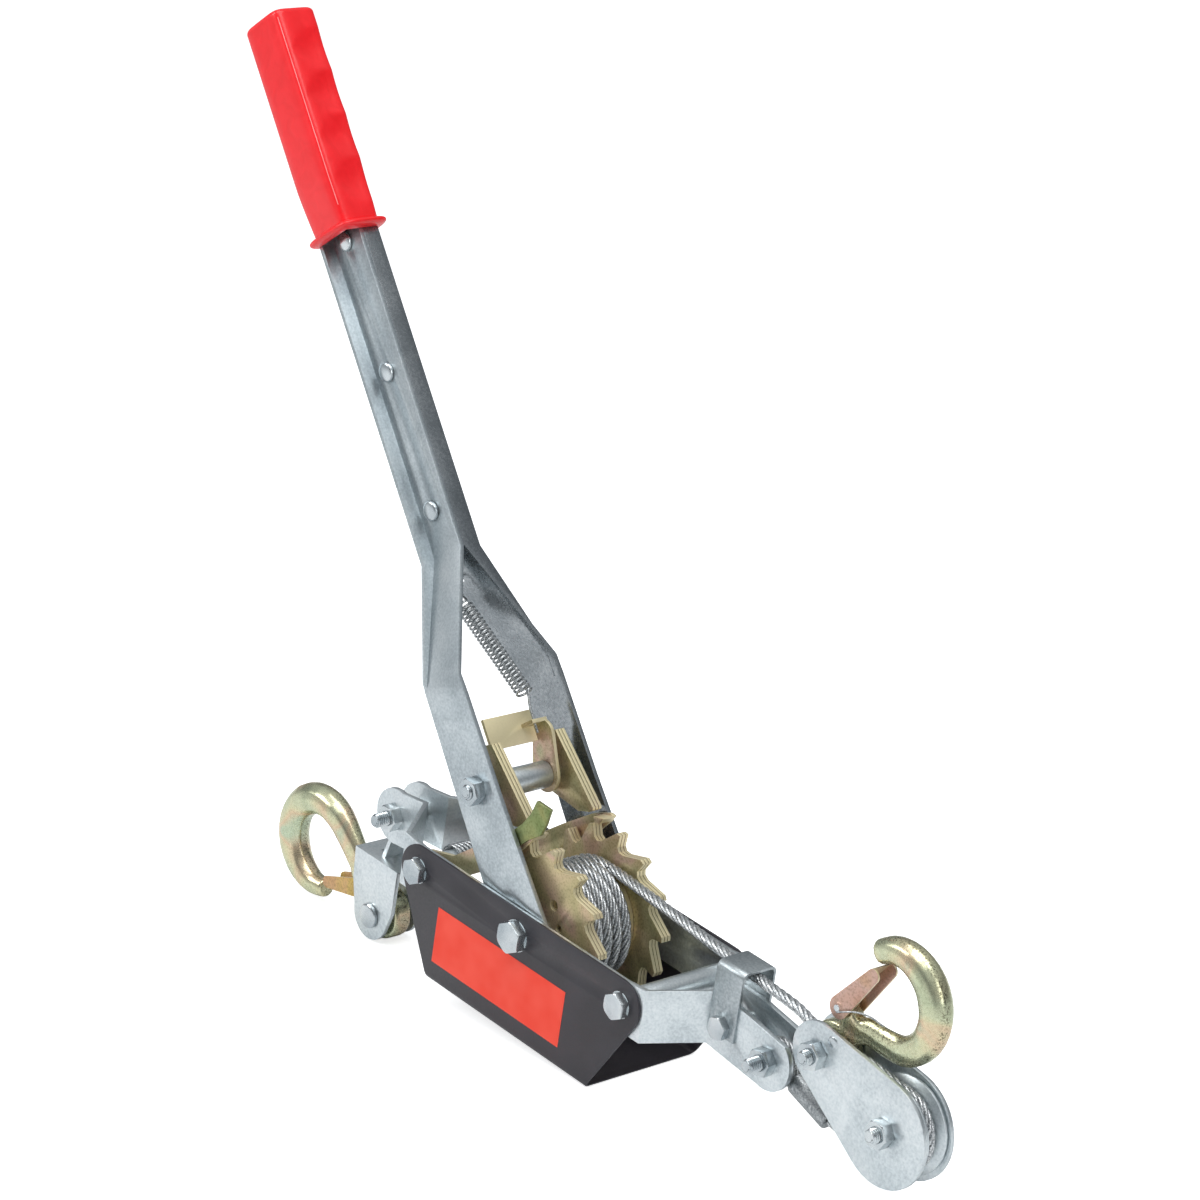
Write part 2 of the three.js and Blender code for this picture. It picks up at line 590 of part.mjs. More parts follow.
/**
 * One half of the handle: a web that lies on its fellow, splays out to the
 * frame's width and widens to the axle, with a flange along one edge.
 * side is -1 for the front half and 1 for the rear one.
 */
function handleHalf(side) {
  const palm = HANDLE_INNER;
  const sheet = HANDLE_SHEET;
  const edge = outline([
    [0, HANDLE_TOP], [sheet, HANDLE_TOP], [sheet, SPLAY_TOP], [palm + sheet, SPLAY_FOOT],
    [palm + sheet, -FOOT_RADIUS - 2], [palm, -FOOT_RADIUS - 2], [palm, SPLAY_FOOT], [0, SPLAY_TOP],
  ].map(([y, z]) => [side * y, z]));
  const flangeEdge = outline([
    [sheet - 0.5, HANDLE_TOP], [sheet + FLANGE_DEPTH, HANDLE_TOP], [sheet + FLANGE_DEPTH, SPLAY_TOP - 2],
    [palm + sheet - 0.3, SPLAY_FOOT + 4], [palm + sheet - 0.3, STEP_HEIGHT], [palm + sheet - 3, STEP_HEIGHT],
    [palm + sheet - 3, SPLAY_FOOT], [sheet - 0.5, SPLAY_TOP],
  ].map(([y, z]) => [side * y, z]));

  const face = new THREE.Shape();
  face.moveTo(BAR_LEFT, HANDLE_TOP);
  face.lineTo(BAR_LEFT, STEP_HEIGHT + 6);
  face.lineTo(PALM_LEFT, STEP_HEIGHT);
  face.lineTo(PALM_LEFT - 1, 60);
  face.lineTo(-FOOT_RADIUS - 1.5, 12);
  face.absarc(0, 0, FOOT_RADIUS, radians(172), radians(368), false);
  face.lineTo(PALM_RIGHT + 1, 70);
  face.lineTo(PALM_RIGHT, STEP_HEIGHT);
  face.lineTo(BAR_RIGHT, SPLAY_TOP);
  face.lineTo(BAR_RIGHT, HANDLE_TOP);
  face.closePath();

  const flangeInner = side < 0 ? BAR_LEFT : BAR_RIGHT - sheet;
  const web = barAlong(edge, -60, 60).intersect(plateAcross(face, -60, 60, 12));
  const flange = barAlong(flangeEdge, flangeInner, flangeInner + sheet);
  const low = side < 0 ? -60 : 0;
  const high = side < 0 ? 0 : 60;
  const holes = [
    rod(M10.shank + SHAFT_CLEARANCE, 0, 0, low, high),
    rod(M8.shank + SHAFT_CLEARANCE, ...PAWL_PIVOT, low, high),
    ...RIVET_HEIGHTS.map((height) => rod(3 + SHAFT_CLEARANCE, RIVET_ACROSS, height, low, high, 20)),
    ...(side > 0 ? [rod(2.4, ...SPRING_HOLE, low, high, 16)] : []),
  ];
  return cut(join(web, flange), ...holes);
}

/** The moulded grip, with finger waves on its front edge and a collar at its foot. */
function grip() {
  const left = BAR_LEFT - CLEARANCE - GRIP_WALL;
  const right = BAR_RIGHT + CLEARANCE + GRIP_WALL;
  const halfThickness = HANDLE_SHEET + FLANGE_DEPTH + CLEARANCE + GRIP_WALL;
  const top = GRIP_FOOT + GRIP_LENGTH;
  const bevel = 4;
  const fingerPitch = (GRIP_LENGTH - COLLAR_HEIGHT - 8) / GRIP_FINGERS;
  const points = [[left + bevel, GRIP_FOOT + bevel], [left + bevel, top - bevel], [right - bevel, top - bevel - 4]];
  const waves = GRIP_FINGERS * 8;
  for (let i = 0; i <= waves; i += 1) {
    const height = top - bevel - 6 - (i / 8) * fingerPitch;
    const wave = (1 - Math.cos((i / 8) * 2 * Math.PI)) / 2;
    points.push([right - bevel + 2 - FINGER_DEPTH * wave, height]);
  }
  points.push([right - bevel, GRIP_FOOT + bevel]);
  const shape = outline(points);
  const body = new THREE.ExtrudeGeometry(shape, {
    depth: 2 * (halfThickness - bevel), bevelEnabled: true, bevelThickness: bevel, bevelSize: bevel, bevelSegments: 3,
  });
  body.applyMatrix4(AXES_ACROSS);
  body.translate(0, halfThickness - bevel, 0);
  const collarShape = new THREE.Shape();
  collarShape.absellipse((left + right) / 2, 0, (right - left) / 2 + COLLAR_PROUD, halfThickness + COLLAR_PROUD + 1,
    0, 2 * Math.PI, false);
  const collar = new THREE.ExtrudeGeometry(collarShape, {
    depth: COLLAR_HEIGHT - 2, bevelEnabled: true, bevelThickness: 1, bevelSize: 1, bevelSegments: 2, curveSegments: 20,
  });
  collar.translate(0, 0, GRIP_FOOT + 1);
  const pocket = slabUp(outline([
    [BAR_LEFT - CLEARANCE, -halfThickness + GRIP_WALL], [BAR_RIGHT + CLEARANCE, -halfThickness + GRIP_WALL],
    [BAR_RIGHT + CLEARANCE, halfThickness - GRIP_WALL], [BAR_LEFT - CLEARANCE, halfThickness - GRIP_WALL],
  ]), GRIP_FOOT - 5, HANDLE_TOP + CLEARANCE);
  return cut(join(solid(body), solid(collar)), pocket);
}

// ---------------------------------------------------------------- drive pawls

/** One drive pawl of three sheets, in the handle's own frame, held clear of the teeth. */
function drivePawl(yLow) {
  const direction = -90 + PAWL_REST_ANGLE;
  const place = (along, across) => {
    const middle = polar(along, direction, PAWL_PIVOT);
    return polar(across, direction + 90, middle);
  };
  const shape = new THREE.Shape();
  shape.moveTo(...place(-8, 22));
  shape.lineTo(...place(-12.5, 18));
  shape.absarc(...PAWL_PIVOT, PAWL_BACK_RADIUS, radians(direction + 170), radians(direction + 270), false);
  shape.lineTo(...place(PAWL_REACH - 10, -8));
  shape.lineTo(...place(PAWL_REACH - 2, -3.3));
  shape.lineTo(...place(PAWL_REACH, -0.8));
  shape.lineTo(...place(PAWL_REACH - 0.5, 0.6));
  shape.closePath();
  const yHigh = yLow + PLY * PLY_COUNT;
  return cut(plateAcross(shape, yLow, yHigh), rod(M8.shank + SHAFT_CLEARANCE, ...PAWL_PIVOT, yLow - 1, yHigh + 1));
}

/** The bent bracket that ties both pawls and takes the spring. */
function pawlCarrier() {
  const [px, pz] = PAWL_PIVOT;
  const inner = CARRIER_CHEEK;
  const sheet = CARRIER_SHEET;
  const end = WHEEL_INNER - CLEARANCE;
  const top = pz + CARRIER_TOP;
  const shelfTop = pz + SHELF_TOP;
  const cheekRadius = 8;
  const cheek = linkShape([px, pz], 10, [px + cheekRadius, shelfTop - cheekRadius], cheekRadius);
  const cheekPlate = plateAcross(cheek, inner, inner + sheet);
  const webFoot = shelfTop - 10;
  const web = plateAcross(outline([
    [px + 1, webFoot], [px + 1, top], [px + 1 + sheet, top], [px + 1 + sheet, webFoot]]), -end, inner + 1);
  const shelf = plateAcross(outline([
    [px + 1, shelfTop - sheet], [px + 1, shelfTop], [px + 13, shelfTop], [px + 13, shelfTop - sheet]]),
  inner - 8, inner + sheet);
  const bore = rod(M8.shank + SHAFT_CLEARANCE, px, pz, -40, 40);
  const hookHole = new THREE.CylinderGeometry(PAWL_SPRING.wire + CLEARANCE, PAWL_SPRING.wire + CLEARANCE, 8, 14);
  hookHole.rotateX(Math.PI / 2);
  hookHole.translate(px + SPRING_EYE[0], inner + SPRING_EYE[1], shelfTop - sheet / 2);
  return cut(join(cheekPlate, web, shelf), bore, solid(hookHole));
}

/** The sleeve round the pawl bolt, from the front pawl to the carrier. */
function pawlSleeve() {
  const [px, pz] = PAWL_PIVOT;
  return sleeve(SLEEVE_RADIUS, M8.shank + SHAFT_CLEARANCE, px, pz, -WHEEL_INNER + CLEARANCE, CARRIER_CHEEK - CLEARANCE);
}

/** A coil spring along +Z from the origin, with straight ends, as a route. */
function coilRoute(coil, turns, length) {
  const stepsPerTurn = 8;
  const points = [];
  for (let i = 0; i <= turns * stepsPerTurn; i += 1) {
    const angle = (2 * Math.PI * i) / stepsPerTurn;
    points.push(new THREE.Vector3(coil * Math.cos(angle), coil * Math.sin(angle), (length * i) / (turns * stepsPerTurn)));
  }
  return points;
}

/** The spring that draws the carrier up towards the handle. */
function pawlSpring() {
  const { wire, coil, turns, top, foot } = PAWL_SPRING;
  const low = new THREE.Vector3(PAWL_PIVOT[0] + SPRING_EYE[0], CARRIER_CHEEK + SPRING_EYE[1], foot);
  const high = new THREE.Vector3(SPRING_HOLE[0], CARRIER_CHEEK - 10, top);
  const lean = new THREE.Quaternion().setFromUnitVectors(
    new THREE.Vector3(0, 0, 1), high.clone().sub(low).normalize());
  const coilPoints = coilRoute(coil, turns, high.distanceTo(low)).map((point) => point.applyQuaternion(lean).add(low));
  const [holeX, holeZ] = SPRING_HOLE;
  const plateY = splayAt(holeZ);
  const route = [
    new THREE.Vector3(low.x, low.y, PAWL_PIVOT[1] + SHELF_TOP - 7),
    new THREE.Vector3(low.x, low.y, PAWL_PIVOT[1] + SHELF_TOP + 1),
    new THREE.Vector3(low.x + 0.4, low.y, foot - 7),
    new THREE.Vector3(low.x + coil * 0.7, low.y - 0.8, foot - 2.4),
    ...coilPoints,
    new THREE.Vector3(holeX + coil * 0.6, high.y + 0.6, top + 2.6),
    new THREE.Vector3(holeX + 0.5, high.y, top + 7),
    new THREE.Vector3(holeX, plateY - 5, holeZ - 3),
    new THREE.Vector3(holeX, plateY - 3.4, holeZ - 0.4),
    new THREE.Vector3(holeX, plateY - 2, holeZ),
    new THREE.Vector3(holeX, plateY + 6, holeZ),
  ];
  console.log('least gap in the pawl spring', leastSelfGap(coilPoints, wire, 4).toFixed(2));
  return tubeThrough(route, route.map(() => wire), 5);
}

// ---------------------------------------------------------------- holding pawls

const HOLD_INNER = WHEEL_OUTER + 0.8;
const HOLD_OUTER = HOLD_INNER + HOLD_SHEET;

/**
 * A holding pawl, engaged: an arm beside the wheel from the cross bolt over
 * the wheel's rear, with a tip of three sheets that stands in a tooth gap.
 */
function holdingPawl(side) {
  const arm = new THREE.Shape();
  arm.moveTo(...polar(9, 120, HOLD_PIVOT));
  arm.absarc(...HOLD_PIVOT, 9, radians(120), radians(320), false);
  arm.lineTo(-60, 2);
  arm.lineTo(-36, 17);
  arm.lineTo(-18, 33);
  arm.lineTo(...polar(HOLD_TIP_RADIUS, 100.5));
  arm.lineTo(...polar(HOLD_TIP_TOP, 97));
  arm.lineTo(-9, 48.2);
  arm.lineTo(-22, 43);
  arm.lineTo(-44, 28.5);
  arm.lineTo(-67, 12);
  arm.closePath();
  const tip = outline([
    polar(HOLD_TIP_RADIUS, 105.6), polar(HOLD_TIP_RADIUS, 100.5), polar(HOLD_TIP_TOP, 97), polar(HOLD_TIP_TOP, 106.4)]);
  const span = (near, far) => (side < 0 ? [-far, -near] : [near, far]);
  const armPlate = plateAcross(arm, ...span(HOLD_INNER, HOLD_OUTER));
  const tipBlock = plateAcross(tip, ...span(WHEEL_INNER, HOLD_INNER + 0.5));
  return cut(join(armPlate, tipBlock), rod(M8.shank + SHAFT_CLEARANCE, ...HOLD_PIVOT, -40, 40));
}

/** The upright thumb lever on the front holding pawl. */
function releaseLever() {
  const shape = outline([
    [-28, 33], [-17, 37], [-8, 45], [1, 51], [4, 58], [6.5, 67.5], [-4.5, 68.5], [-8, 60], [-13, 53], [-20, 46], [-28, 41]]);
  return plateAcross(shape, -HOLD_OUTER - LEVER_SHEET, -HOLD_OUTER);
}

/** The spring round the holding pawls' tube, with one leg under the arm. */
function torsionSpring() {
  const { wire, coil, turns, pitch } = TORSION_SPRING;
  const start = -WHEEL_INNER + 2;
  const points = coilRoute(coil, turns, turns * pitch)
    .map((point) => new THREE.Vector3(HOLD_PIVOT[0] + point.x, start + point.z, HOLD_PIVOT[1] + point.y));
  const first = points[0];
  const last = points[points.length - 1];
  const route = [
    new THREE.Vector3(first.x, first.y, first.z - 12),
    new THREE.Vector3(first.x, first.y, first.z - 4),
    ...points,
    new THREE.Vector3(last.x, last.y, last.z + 4),
    new THREE.Vector3(last.x, last.y, last.z + 14),
  ];
  console.log('least gap in the torsion spring', leastSelfGap(points, wire, 4).toFixed(2));
  return tubeThrough(route, route.map(() => wire), 5);
}

// ---------------------------------------------------------------- rear hook

/** The bent hanger: two ears, a web over them and a tongue rolled round the bolt. */
function hanger() {
  const inner = HANGER_GAP / 2;
  const outer = inner + HANGER_SHEET;
  const [px, pz] = HANGER_PIN;
  const left = HANGER_REAR;
  const right = HANGER_FRONT;
  const ear = new THREE.Shape();
  ear.moveTo(left, HANGER_WEB_TOP);
  ear.lineTo(left + 1, pz + 16);
  ear.lineTo(px - 14.5, pz + 2);
  ear.absarc(px, pz, 14, radians(190), radians(345), false);
  ear.lineTo(right - 0.5, pz + 8);
  ear.lineTo(right, HANGER_WEB_TOP);
  ear.closePath();
  const ears = plateAcross(ear, -outer, outer);
  const room = plateAcross(outline([
    [left - 9, pz - 20], [right + 9, pz - 20], [right + 9, HANGER_WEB_TOP - HANGER_SHEET],
    [left - 9, HANGER_WEB_TOP - HANGER_SHEET]]), -inner, inner);
  const tongueHalf = EAR_GAP / 2 - SLIDE_CLEARANCE;
  const roll = M8.shank + SHAFT_CLEARANCE + HANGER_SHEET;
  const tongue = plateAcross(outline([
    [-REAR_EAR_X - roll, 0], [-REAR_EAR_X - roll, -18], [-REAR_EAR_X - roll - 4, HANGER_WEB_TOP - 0.5],
    [-REAR_EAR_X - roll - 1, HANGER_WEB_TOP - 0.5], [-REAR_EAR_X - roll + HANGER_SHEET, -18],
    [-REAR_EAR_X - roll + HANGER_SHEET, 0]]), -tongueHalf, tongueHalf);
  const ring = rod(roll, -REAR_EAR_X, 0, -tongueHalf, tongueHalf);
  const slot = slabUp(outline([
    [px - 9, -2], [px + 1, -2], [px + 1, 1], [px - 9, 1]]), HANGER_WEB_TOP - 5, HANGER_WEB_TOP + 5);
  return cut(join(cut(ears, room, slot), tongue, ring), rod(M8.shank + SHAFT_CLEARANCE, -REAR_EAR_X, 0, -40, 40),
    rod(4 + SHAFT_CLEARANCE, px, pz, -40, 40));
}

/**
 * A forged hook: a flat eye, a shank with a lug for the latch, and a round bowl,
 * in the plane y = side. sections are [across, within] radii along the route.
 */
function hook(eye, eyeHalf, route, sections, side, latchPin) {
  const steps = 28;
  const points = smoothRoute(route.map(([x, z]) => [x, side, z]), steps);
  const radii = points.map((point, i) => {
    const place = (i / steps) * (sections.length - 1);
    const from = Math.min(Math.floor(place), sections.length - 2);
    const part = place - from;
    return [0, 1].map((axis) => sections[from][axis] * (1 - part) + sections[from + 1][axis] * part);
  });
  const bowl = solid(tubeThrough(points, radii, 10));
  const ring = rod(HOOK_EYE_RADIUS, ...eye, side - eyeHalf, side + eyeHalf);
  const lugHalf = Math.min(LATCH_HALF - SLIDE_CLEARANCE, eyeHalf);
  const lug = plateAcross(linkShape(latchPin, LUG_RADIUS, route[1], LUG_RADIUS + 2), side - lugHalf, side + lugHalf);
  return cut(join(bowl, ring, lug), rod(4 + SHAFT_CLEARANCE, ...eye, -40, 40),
    rod(LATCH_RIVET + SHAFT_CLEARANCE, ...latchPin, -40, 40, 12));
}

/** The rear hook, its bowl lying behind the hanger with its mouth down. */
function rearHook() {
  const around = [60, 90, 125, 160, 195, 230, 262, 290].map((angle) => polar(REAR_BOWL_RADIUS, angle, REAR_BOWL));
  const route = [[HANGER_PIN[0] - 9, HANGER_PIN[1] + 5], [-170, -50], [-183, -38], ...around];
  const sections = [
    [5.4, 8], [5.4, 8], [6.8, 8.5], [8.5, 9], [9, 9.6], [9, 9.6], [8.5, 9.4], [7.5, 8], [5.5, 5.5]];
  return hook(HANGER_PIN, HOOK_EYE_HALF, route, sections, 0, REAR_LATCH_PIN);
}

/** The front hook, standing on the pulley block with its mouth to the rear. */
function frontHook() {
  const around = [-100, -65, -30, 5, 40, 75, 105, 131].map((angle) => polar(FRONT_BOWL_RADIUS, angle, FRONT_BOWL));
  const route = [[HOOK_PIN[0] + 4, HOOK_PIN[1] + 7], [203, 35], [211, 38.2], ...around];
  const sections = [
    [FRONT_EYE_HALF, 7], [FRONT_EYE_HALF, 7.5], [4, 8], [5.6, 8.4], [7.8, 9], [8.4, 9.2], [8, 9], [7.4, 8], [6.2, 6.6]];
  return hook(HOOK_PIN, FRONT_EYE_HALF, route, sections, FRONT_HOOK_SIDE, FRONT_LATCH_PIN);
}

/** A sheet latch: two cheeks beside the shank, joined by a web, with its own rivet. */
function latch(pivot, tip, middle, footRadius) {
  const inner = LATCH_HALF;
  const outer = inner + LATCH_SHEET;
  const shape = linkShape(pivot, footRadius, tip, footRadius * 0.62);
  const cheeks = plateAcross(shape, middle - outer, middle + outer);
  const along = Math.atan2(tip[1] - pivot[1], tip[0] - pivot[0]);
  const across = [-Math.sin(along), Math.cos(along)];
  const ahead = [Math.cos(along), Math.sin(along)];
  const length = Math.hypot(tip[0] - pivot[0], tip[1] - pivot[1]);
  const place = (a, c) => [pivot[0] + ahead[0] * a + across[0] * c, pivot[1] + ahead[1] * a + across[1] * c];
  const room = [
    place(-footRadius - 2, -footRadius - 2), place(length + footRadius, -footRadius - 2),
    place(length + footRadius, footRadius * 0.62 - LATCH_SHEET), place(footRadius, footRadius * 0.62 - LATCH_SHEET),
    place(footRadius, footRadius + 2), place(-footRadius - 2, footRadius + 2),
  ];
  const channel = cut(cheeks, plateAcross(outline(room), middle - inner, middle + inner));
  return join(channel, rivet(LATCH_RIVET, 3.2, 1, ...pivot, middle - outer, middle + outer));
}

// ---------------------------------------------------------------- pulley block

/** One side of the pulley block. */
function blockPlate(side) {
  const inner = BLOCK_GAP / 2;
  const shape = linkShape(HOOK_PIN, BLOCK_SMALL_RADIUS, BLOCK_LARGE_END, BLOCK_LARGE_RADIUS);
  const [low, high] = side < 0 ? [-inner - BLOCK_SHEET, -inner] : [inner, inner + BLOCK_SHEET];
  return cut(plateAcross(shape, low, high, 12), rod(M8.shank + SHAFT_CLEARANCE, ...HOOK_PIN, low - 1, high + 1),
    rod(M8.shank + SHAFT_CLEARANCE, ...SHEAVE_PIN, low - 1, high + 1));
}

/** The grooved sheave on its axle. */
function sheave() {
  const bore = M8.shank + SHAFT_CLEARANCE;
  const half = SHEAVE_WIDTH / 2;
  const groove = SHEAVE_CABLE_RADIUS - CABLE_RADIUS - SLIDE_CLEARANCE;
  const profile = [
    [bore, -half], [SHEAVE_RADIUS, -half], [SHEAVE_RADIUS, -half + 1.4], [groove + 3.3, -3.5], [groove + 1.2, -2.8],
    [groove, -1.6], [groove, 1.6], [groove + 1.2, 2.8], [groove + 3.3, 3.5], [SHEAVE_RADIUS, half - 1.4],
    [SHEAVE_RADIUS, half], [bore, half], [bore, -half],
  ].map(([r, y]) => new THREE.Vector2(r, y));
  const geometry = new THREE.LatheGeometry(profile, 28);
  geometry.translate(SHEAVE_PIN[0], 0, SHEAVE_PIN[1]);
  return solid(geometry);
}

// ---------------------------------------------------------------- cable

const GUIDE_CABLE_TOP = GUIDE_TOP - GUIDE_SHEET - CLEARANCE - CABLE_RADIUS;
const LEAD_START = CABLE_DIAMETER + CLEARANCE;
const LEAD_END = GUIDE_X + GUIDE_LENGTH / 2 + 2;
const BIGHT_START = 214;
const BIGHT_LOWER_START = 216;
const LEAD_SIDE_AT_GUIDE = 1;

/** The cable from the top of the drum to just past the guide strap. */
function cableLead() {
  return cableAlong([
    [LEAD_START, LEAD_SIDE, WINDING_RADIUS], [LEAD_START + CABLE_DIAMETER, LEAD_SIDE, WINDING_RADIUS],
    [50, LEAD_SIDE - 5.2, WINDING_RADIUS + 1.2], [90, LEAD_SIDE - 10.5, GUIDE_CABLE_TOP - 0.3],
    [GUIDE_X, LEAD_SIDE_AT_GUIDE, GUIDE_CABLE_TOP], [LEAD_END - 4, 0, GUIDE_CABLE_TOP], [LEAD_END, -0.3, GUIDE_CABLE_TOP]], 16);
}

/** The free cable between the guide strap and the pulley block. */
function upperSpan() {
  return cableAlong([
    [LEAD_END + CLEARANCE, -0.4, GUIDE_CABLE_TOP], [LEAD_END + 5, -1, GUIDE_CABLE_TOP],
    [168, -2.6, 31.6], [HOOK_PIN[0] - 8, CABLE_SIDE, 29.2], [HOOK_PIN[0] + 6, CABLE_SIDE, 28],
    [BIGHT_START - 6, CABLE_SIDE + 0.6, 27.4], [BIGHT_START - 0.45, CABLE_SIDE + 1.2, 26.9]], 14);
}

/** The cable in the pulley block, round the sheave. */
function cableBight() {
  const around = [80, 60, 30, 0, -30, -60, -85].map((angle) => {
    const [x, z] = polar(SHEAVE_CABLE_RADIUS, angle, SHEAVE_PIN);
    return [x, 0, z];
  });
  const [bottomX, bottomZ] = polar(SHEAVE_CABLE_RADIUS, -92, SHEAVE_PIN);
  return cableAlong([
    [BIGHT_START, CABLE_SIDE + 1.2, 26.9], [BIGHT_START + 6, CABLE_SIDE + 2, 26.4], [231, -0.6, 24.2], ...around,
    [bottomX, 0, bottomZ], [228, 0, bottomZ], [BIGHT_LOWER_START, 0, bottomZ]], 34);
}

/** The free cable between the pulley block and the ferrule. */
function lowerSpan() {
  const bottomZ = polar(SHEAVE_CABLE_RADIUS, -92, SHEAVE_PIN)[1];
  return cableAlong([
    [BIGHT_LOWER_START - CLEARANCE, 0, bottomZ], [BIGHT_LOWER_START - 6, 0, bottomZ],
    [FERRULE_TO[0] + 5, 0, FERRULE_TO[1] - 0.6], [FERRULE_TO[0] + CLEARANCE + 0.3, 0, FERRULE_TO[1] - 0.2]], 6);
}

/** The cable's end: an eye round the anchor bolt, closed by a pressed ferrule. */
function cableAnchor() {
  const loopRadius = M8.shank + CLEARANCE + CABLE_RADIUS + 0.3;
  const centre = [FRONT_EAR_X, 0];
  const loop = [50, 85, 120, 155, 190, 225, 260].map((angle) => {
    const [x, z] = polar(loopRadius, angle, centre);
    return [x, 0, z];
  });
  const eye = solid(cableAlong([
    [FERRULE_FROM[0] + 6, 0, FERRULE_FROM[1] + 1], [FERRULE_FROM[0], 0, FERRULE_FROM[1] + 3.6], ...loop,
    [FERRULE_FROM[0] - 2, 0, FERRULE_FROM[1] - 2.6], [FERRULE_FROM[0] + 5, 0, FERRULE_FROM[1] - 4.6]], 30));
  const crimp = smoothRoute([[FERRULE_FROM[0], 0, FERRULE_FROM[1]], [FERRULE_TO[0], 0, FERRULE_TO[1]]], 3);
  const ferrule = solid(tubeThrough(crimp, crimp.map(() => [5.2, 6.4]), 14));
  return join(eye, ferrule);
}

// ---------------------------------------------------------------- assembly

const winch = new THREE.Group();
winch.name = 'come_along_winch';
const body = new THREE.Group();
body.rotation.y = radians(FRAME_TILT);
winch.add(body);
const frame = new THREE.Group();
frame.position.z = COVER_DEPTH;
body.add(frame);
const handle = new THREE.Group();
handle.rotation.y = -radians(HANDLE_LEAN);
frame.add(handle);

add(frame, 'cover', cover(), blackPaint);
add(frame, 'frame_plate_front', framePlate(-1), steelZinc);
add(frame, 'frame_plate_rear', framePlate(1), steelZinc);
add(frame, 'guide_strap', guideStrap(), steelZinc);

add(frame, 'axle_bolt', bolt(M10, 0, 0, -COVER_HALF_WIDTH, COVER_HALF_WIDTH, THREAD_END), steelZinc);
add(frame, 'axle_nut', nut(M10, 0, 0, -COVER_HALF_WIDTH, COVER_HALF_WIDTH), steelZinc);
for (const [name, x] of [['rear_cross', -CROSS_BOLT_SPACING], ['front_cross', CROSS_BOLT_SPACING]]) {
  add(frame, `${name}_bolt`, bolt(M8, x, 0, -COVER_HALF_WIDTH, COVER_HALF_WIDTH, THREAD_END), steelZinc);
  add(frame, `${name}_nut`, nut(M8, x, 0, -COVER_HALF_WIDTH, COVER_HALF_WIDTH), steelZinc);
}
const EAR_FACE = EAR_GAP / 2 + PLATE_SHEET;
for (const [name, x] of [['hanger', -REAR_EAR_X], ['anchor', FRONT_EAR_X]]) {
  add(frame, `${name}_bolt`, bolt(M8, x, 0, EAR_FACE, -EAR_FACE, THREAD_END_LONG), steelZinc);
  add(frame, `${name}_nut`, nut(M8, x, 0, EAR_FACE, -EAR_FACE), steelZinc);
}

for (let i = 0; i < PLY_COUNT; i += 1) {
  const place = ['inner', 'middle', 'outer'][i];
  add(frame, `front_wheel_${place}`, wheelPly(-WHEEL_INNER - (i + 1) * PLY), yellowZinc);
  add(frame, `rear_wheel_${place}`, wheelPly(WHEEL_INNER + i * PLY), yellowZinc);
}
add(frame, 'drum_core', drumCore(), yellowZinc);
add(frame, 'cable_winding', cableWinding(), cableSteel);

add(handle, 'handle_half_front', handleHalf(-1), steelZinc);
add(handle, 'handle_half_rear', handleHalf(1), steelZinc);
add(handle, 'grip', grip(), redGrip);
RIVET_HEIGHTS.forEach((height, i) => {
  add(handle, `handle_rivet_${i + 1}`,
    rivet(3, 5.5, 2.2, RIVET_ACROSS, height, -HANDLE_SHEET - CLEARANCE, HANDLE_SHEET + CLEARANCE), steelZinc);
});
add(handle, 'pawl_bolt', bolt(M8, ...PAWL_PIVOT, HANDLE_OUTER, -HANDLE_OUTER, 1.5), steelZinc);
add(handle, 'pawl_nut', nut(M8, ...PAWL_PIVOT, HANDLE_OUTER, -HANDLE_OUTER), steelZinc);

add(handle, 'drive_pawl_front', drivePawl(-WHEEL_OUTER), yellowZinc);
add(handle, 'drive_pawl_rear', drivePawl(WHEEL_INNER), yellowZinc);
add(handle, 'pawl_carrier', pawlCarrier(), yellowZinc);
add(handle, 'pawl_sleeve', pawlSleeve(), steelZinc);

add(handle, 'pawl_spring', pawlSpring(), steelZinc);

const holding = new THREE.Group();
holding.position.set(HOLD_PIVOT[0], 0, HOLD_PIVOT[1]);
holding.rotation.y = -radians(HOLD_RELEASE);
frame.add(holding);
const holdingParts = new THREE.Group();
holdingParts.position.set(-HOLD_PIVOT[0], 0, -HOLD_PIVOT[1]);
holding.add(holdingParts);
add(holdingParts, 'holding_pawl_front', holdingPawl(-1), yellowZinc);
add(holdingParts, 'holding_pawl_rear', holdingPawl(1), yellowZinc);
add(holdingParts, 'release_lever', releaseLever(), yellowZinc);
add(frame, 'holding_pawl_tube', sleeve(HOLD_TUBE_RADIUS, M8.shank + SHAFT_CLEARANCE, ...HOLD_PIVOT,
  -HOLD_INNER + CLEARANCE, HOLD_INNER - CLEARANCE), steelZinc);
add(frame, 'torsion_spring', torsionSpring(), steelZinc);
add(frame, 'front_spacer_tube', sleeve(HOLD_TUBE_RADIUS, M8.shank + SHAFT_CLEARANCE, CROSS_BOLT_SPACING, 0,
  -PLATE_INNER + CLEARANCE, PLATE_INNER - CLEARANCE), steelZinc);

const GUIDE_OUTER = EAR_FACE + GUIDE_SHEET;
add(frame, 'guide_screw',
  bolt(GUIDE_SCREW, GUIDE_X, GUIDE_SCREW.height, -GUIDE_OUTER, GUIDE_OUTER, GUIDE_SCREW.end), steelZinc);

const HANGER_OUTER = HANGER_GAP / 2 + HANGER_SHEET;
add(frame, 'hook_hanger', hanger(), steelZinc);
add(frame, 'hanger_rivet', rivet(4, 7, 2.6, ...HANGER_PIN, -HANGER_OUTER - CLEARANCE, HANGER_OUTER + CLEARANCE), steelZinc);
add(frame, 'rear_hook', rearHook(), yellowZinc);
add(frame, 'rear_latch', latch(REAR_LATCH_PIN, REAR_LATCH_TIP, 0, 5.5), yellowZinc);

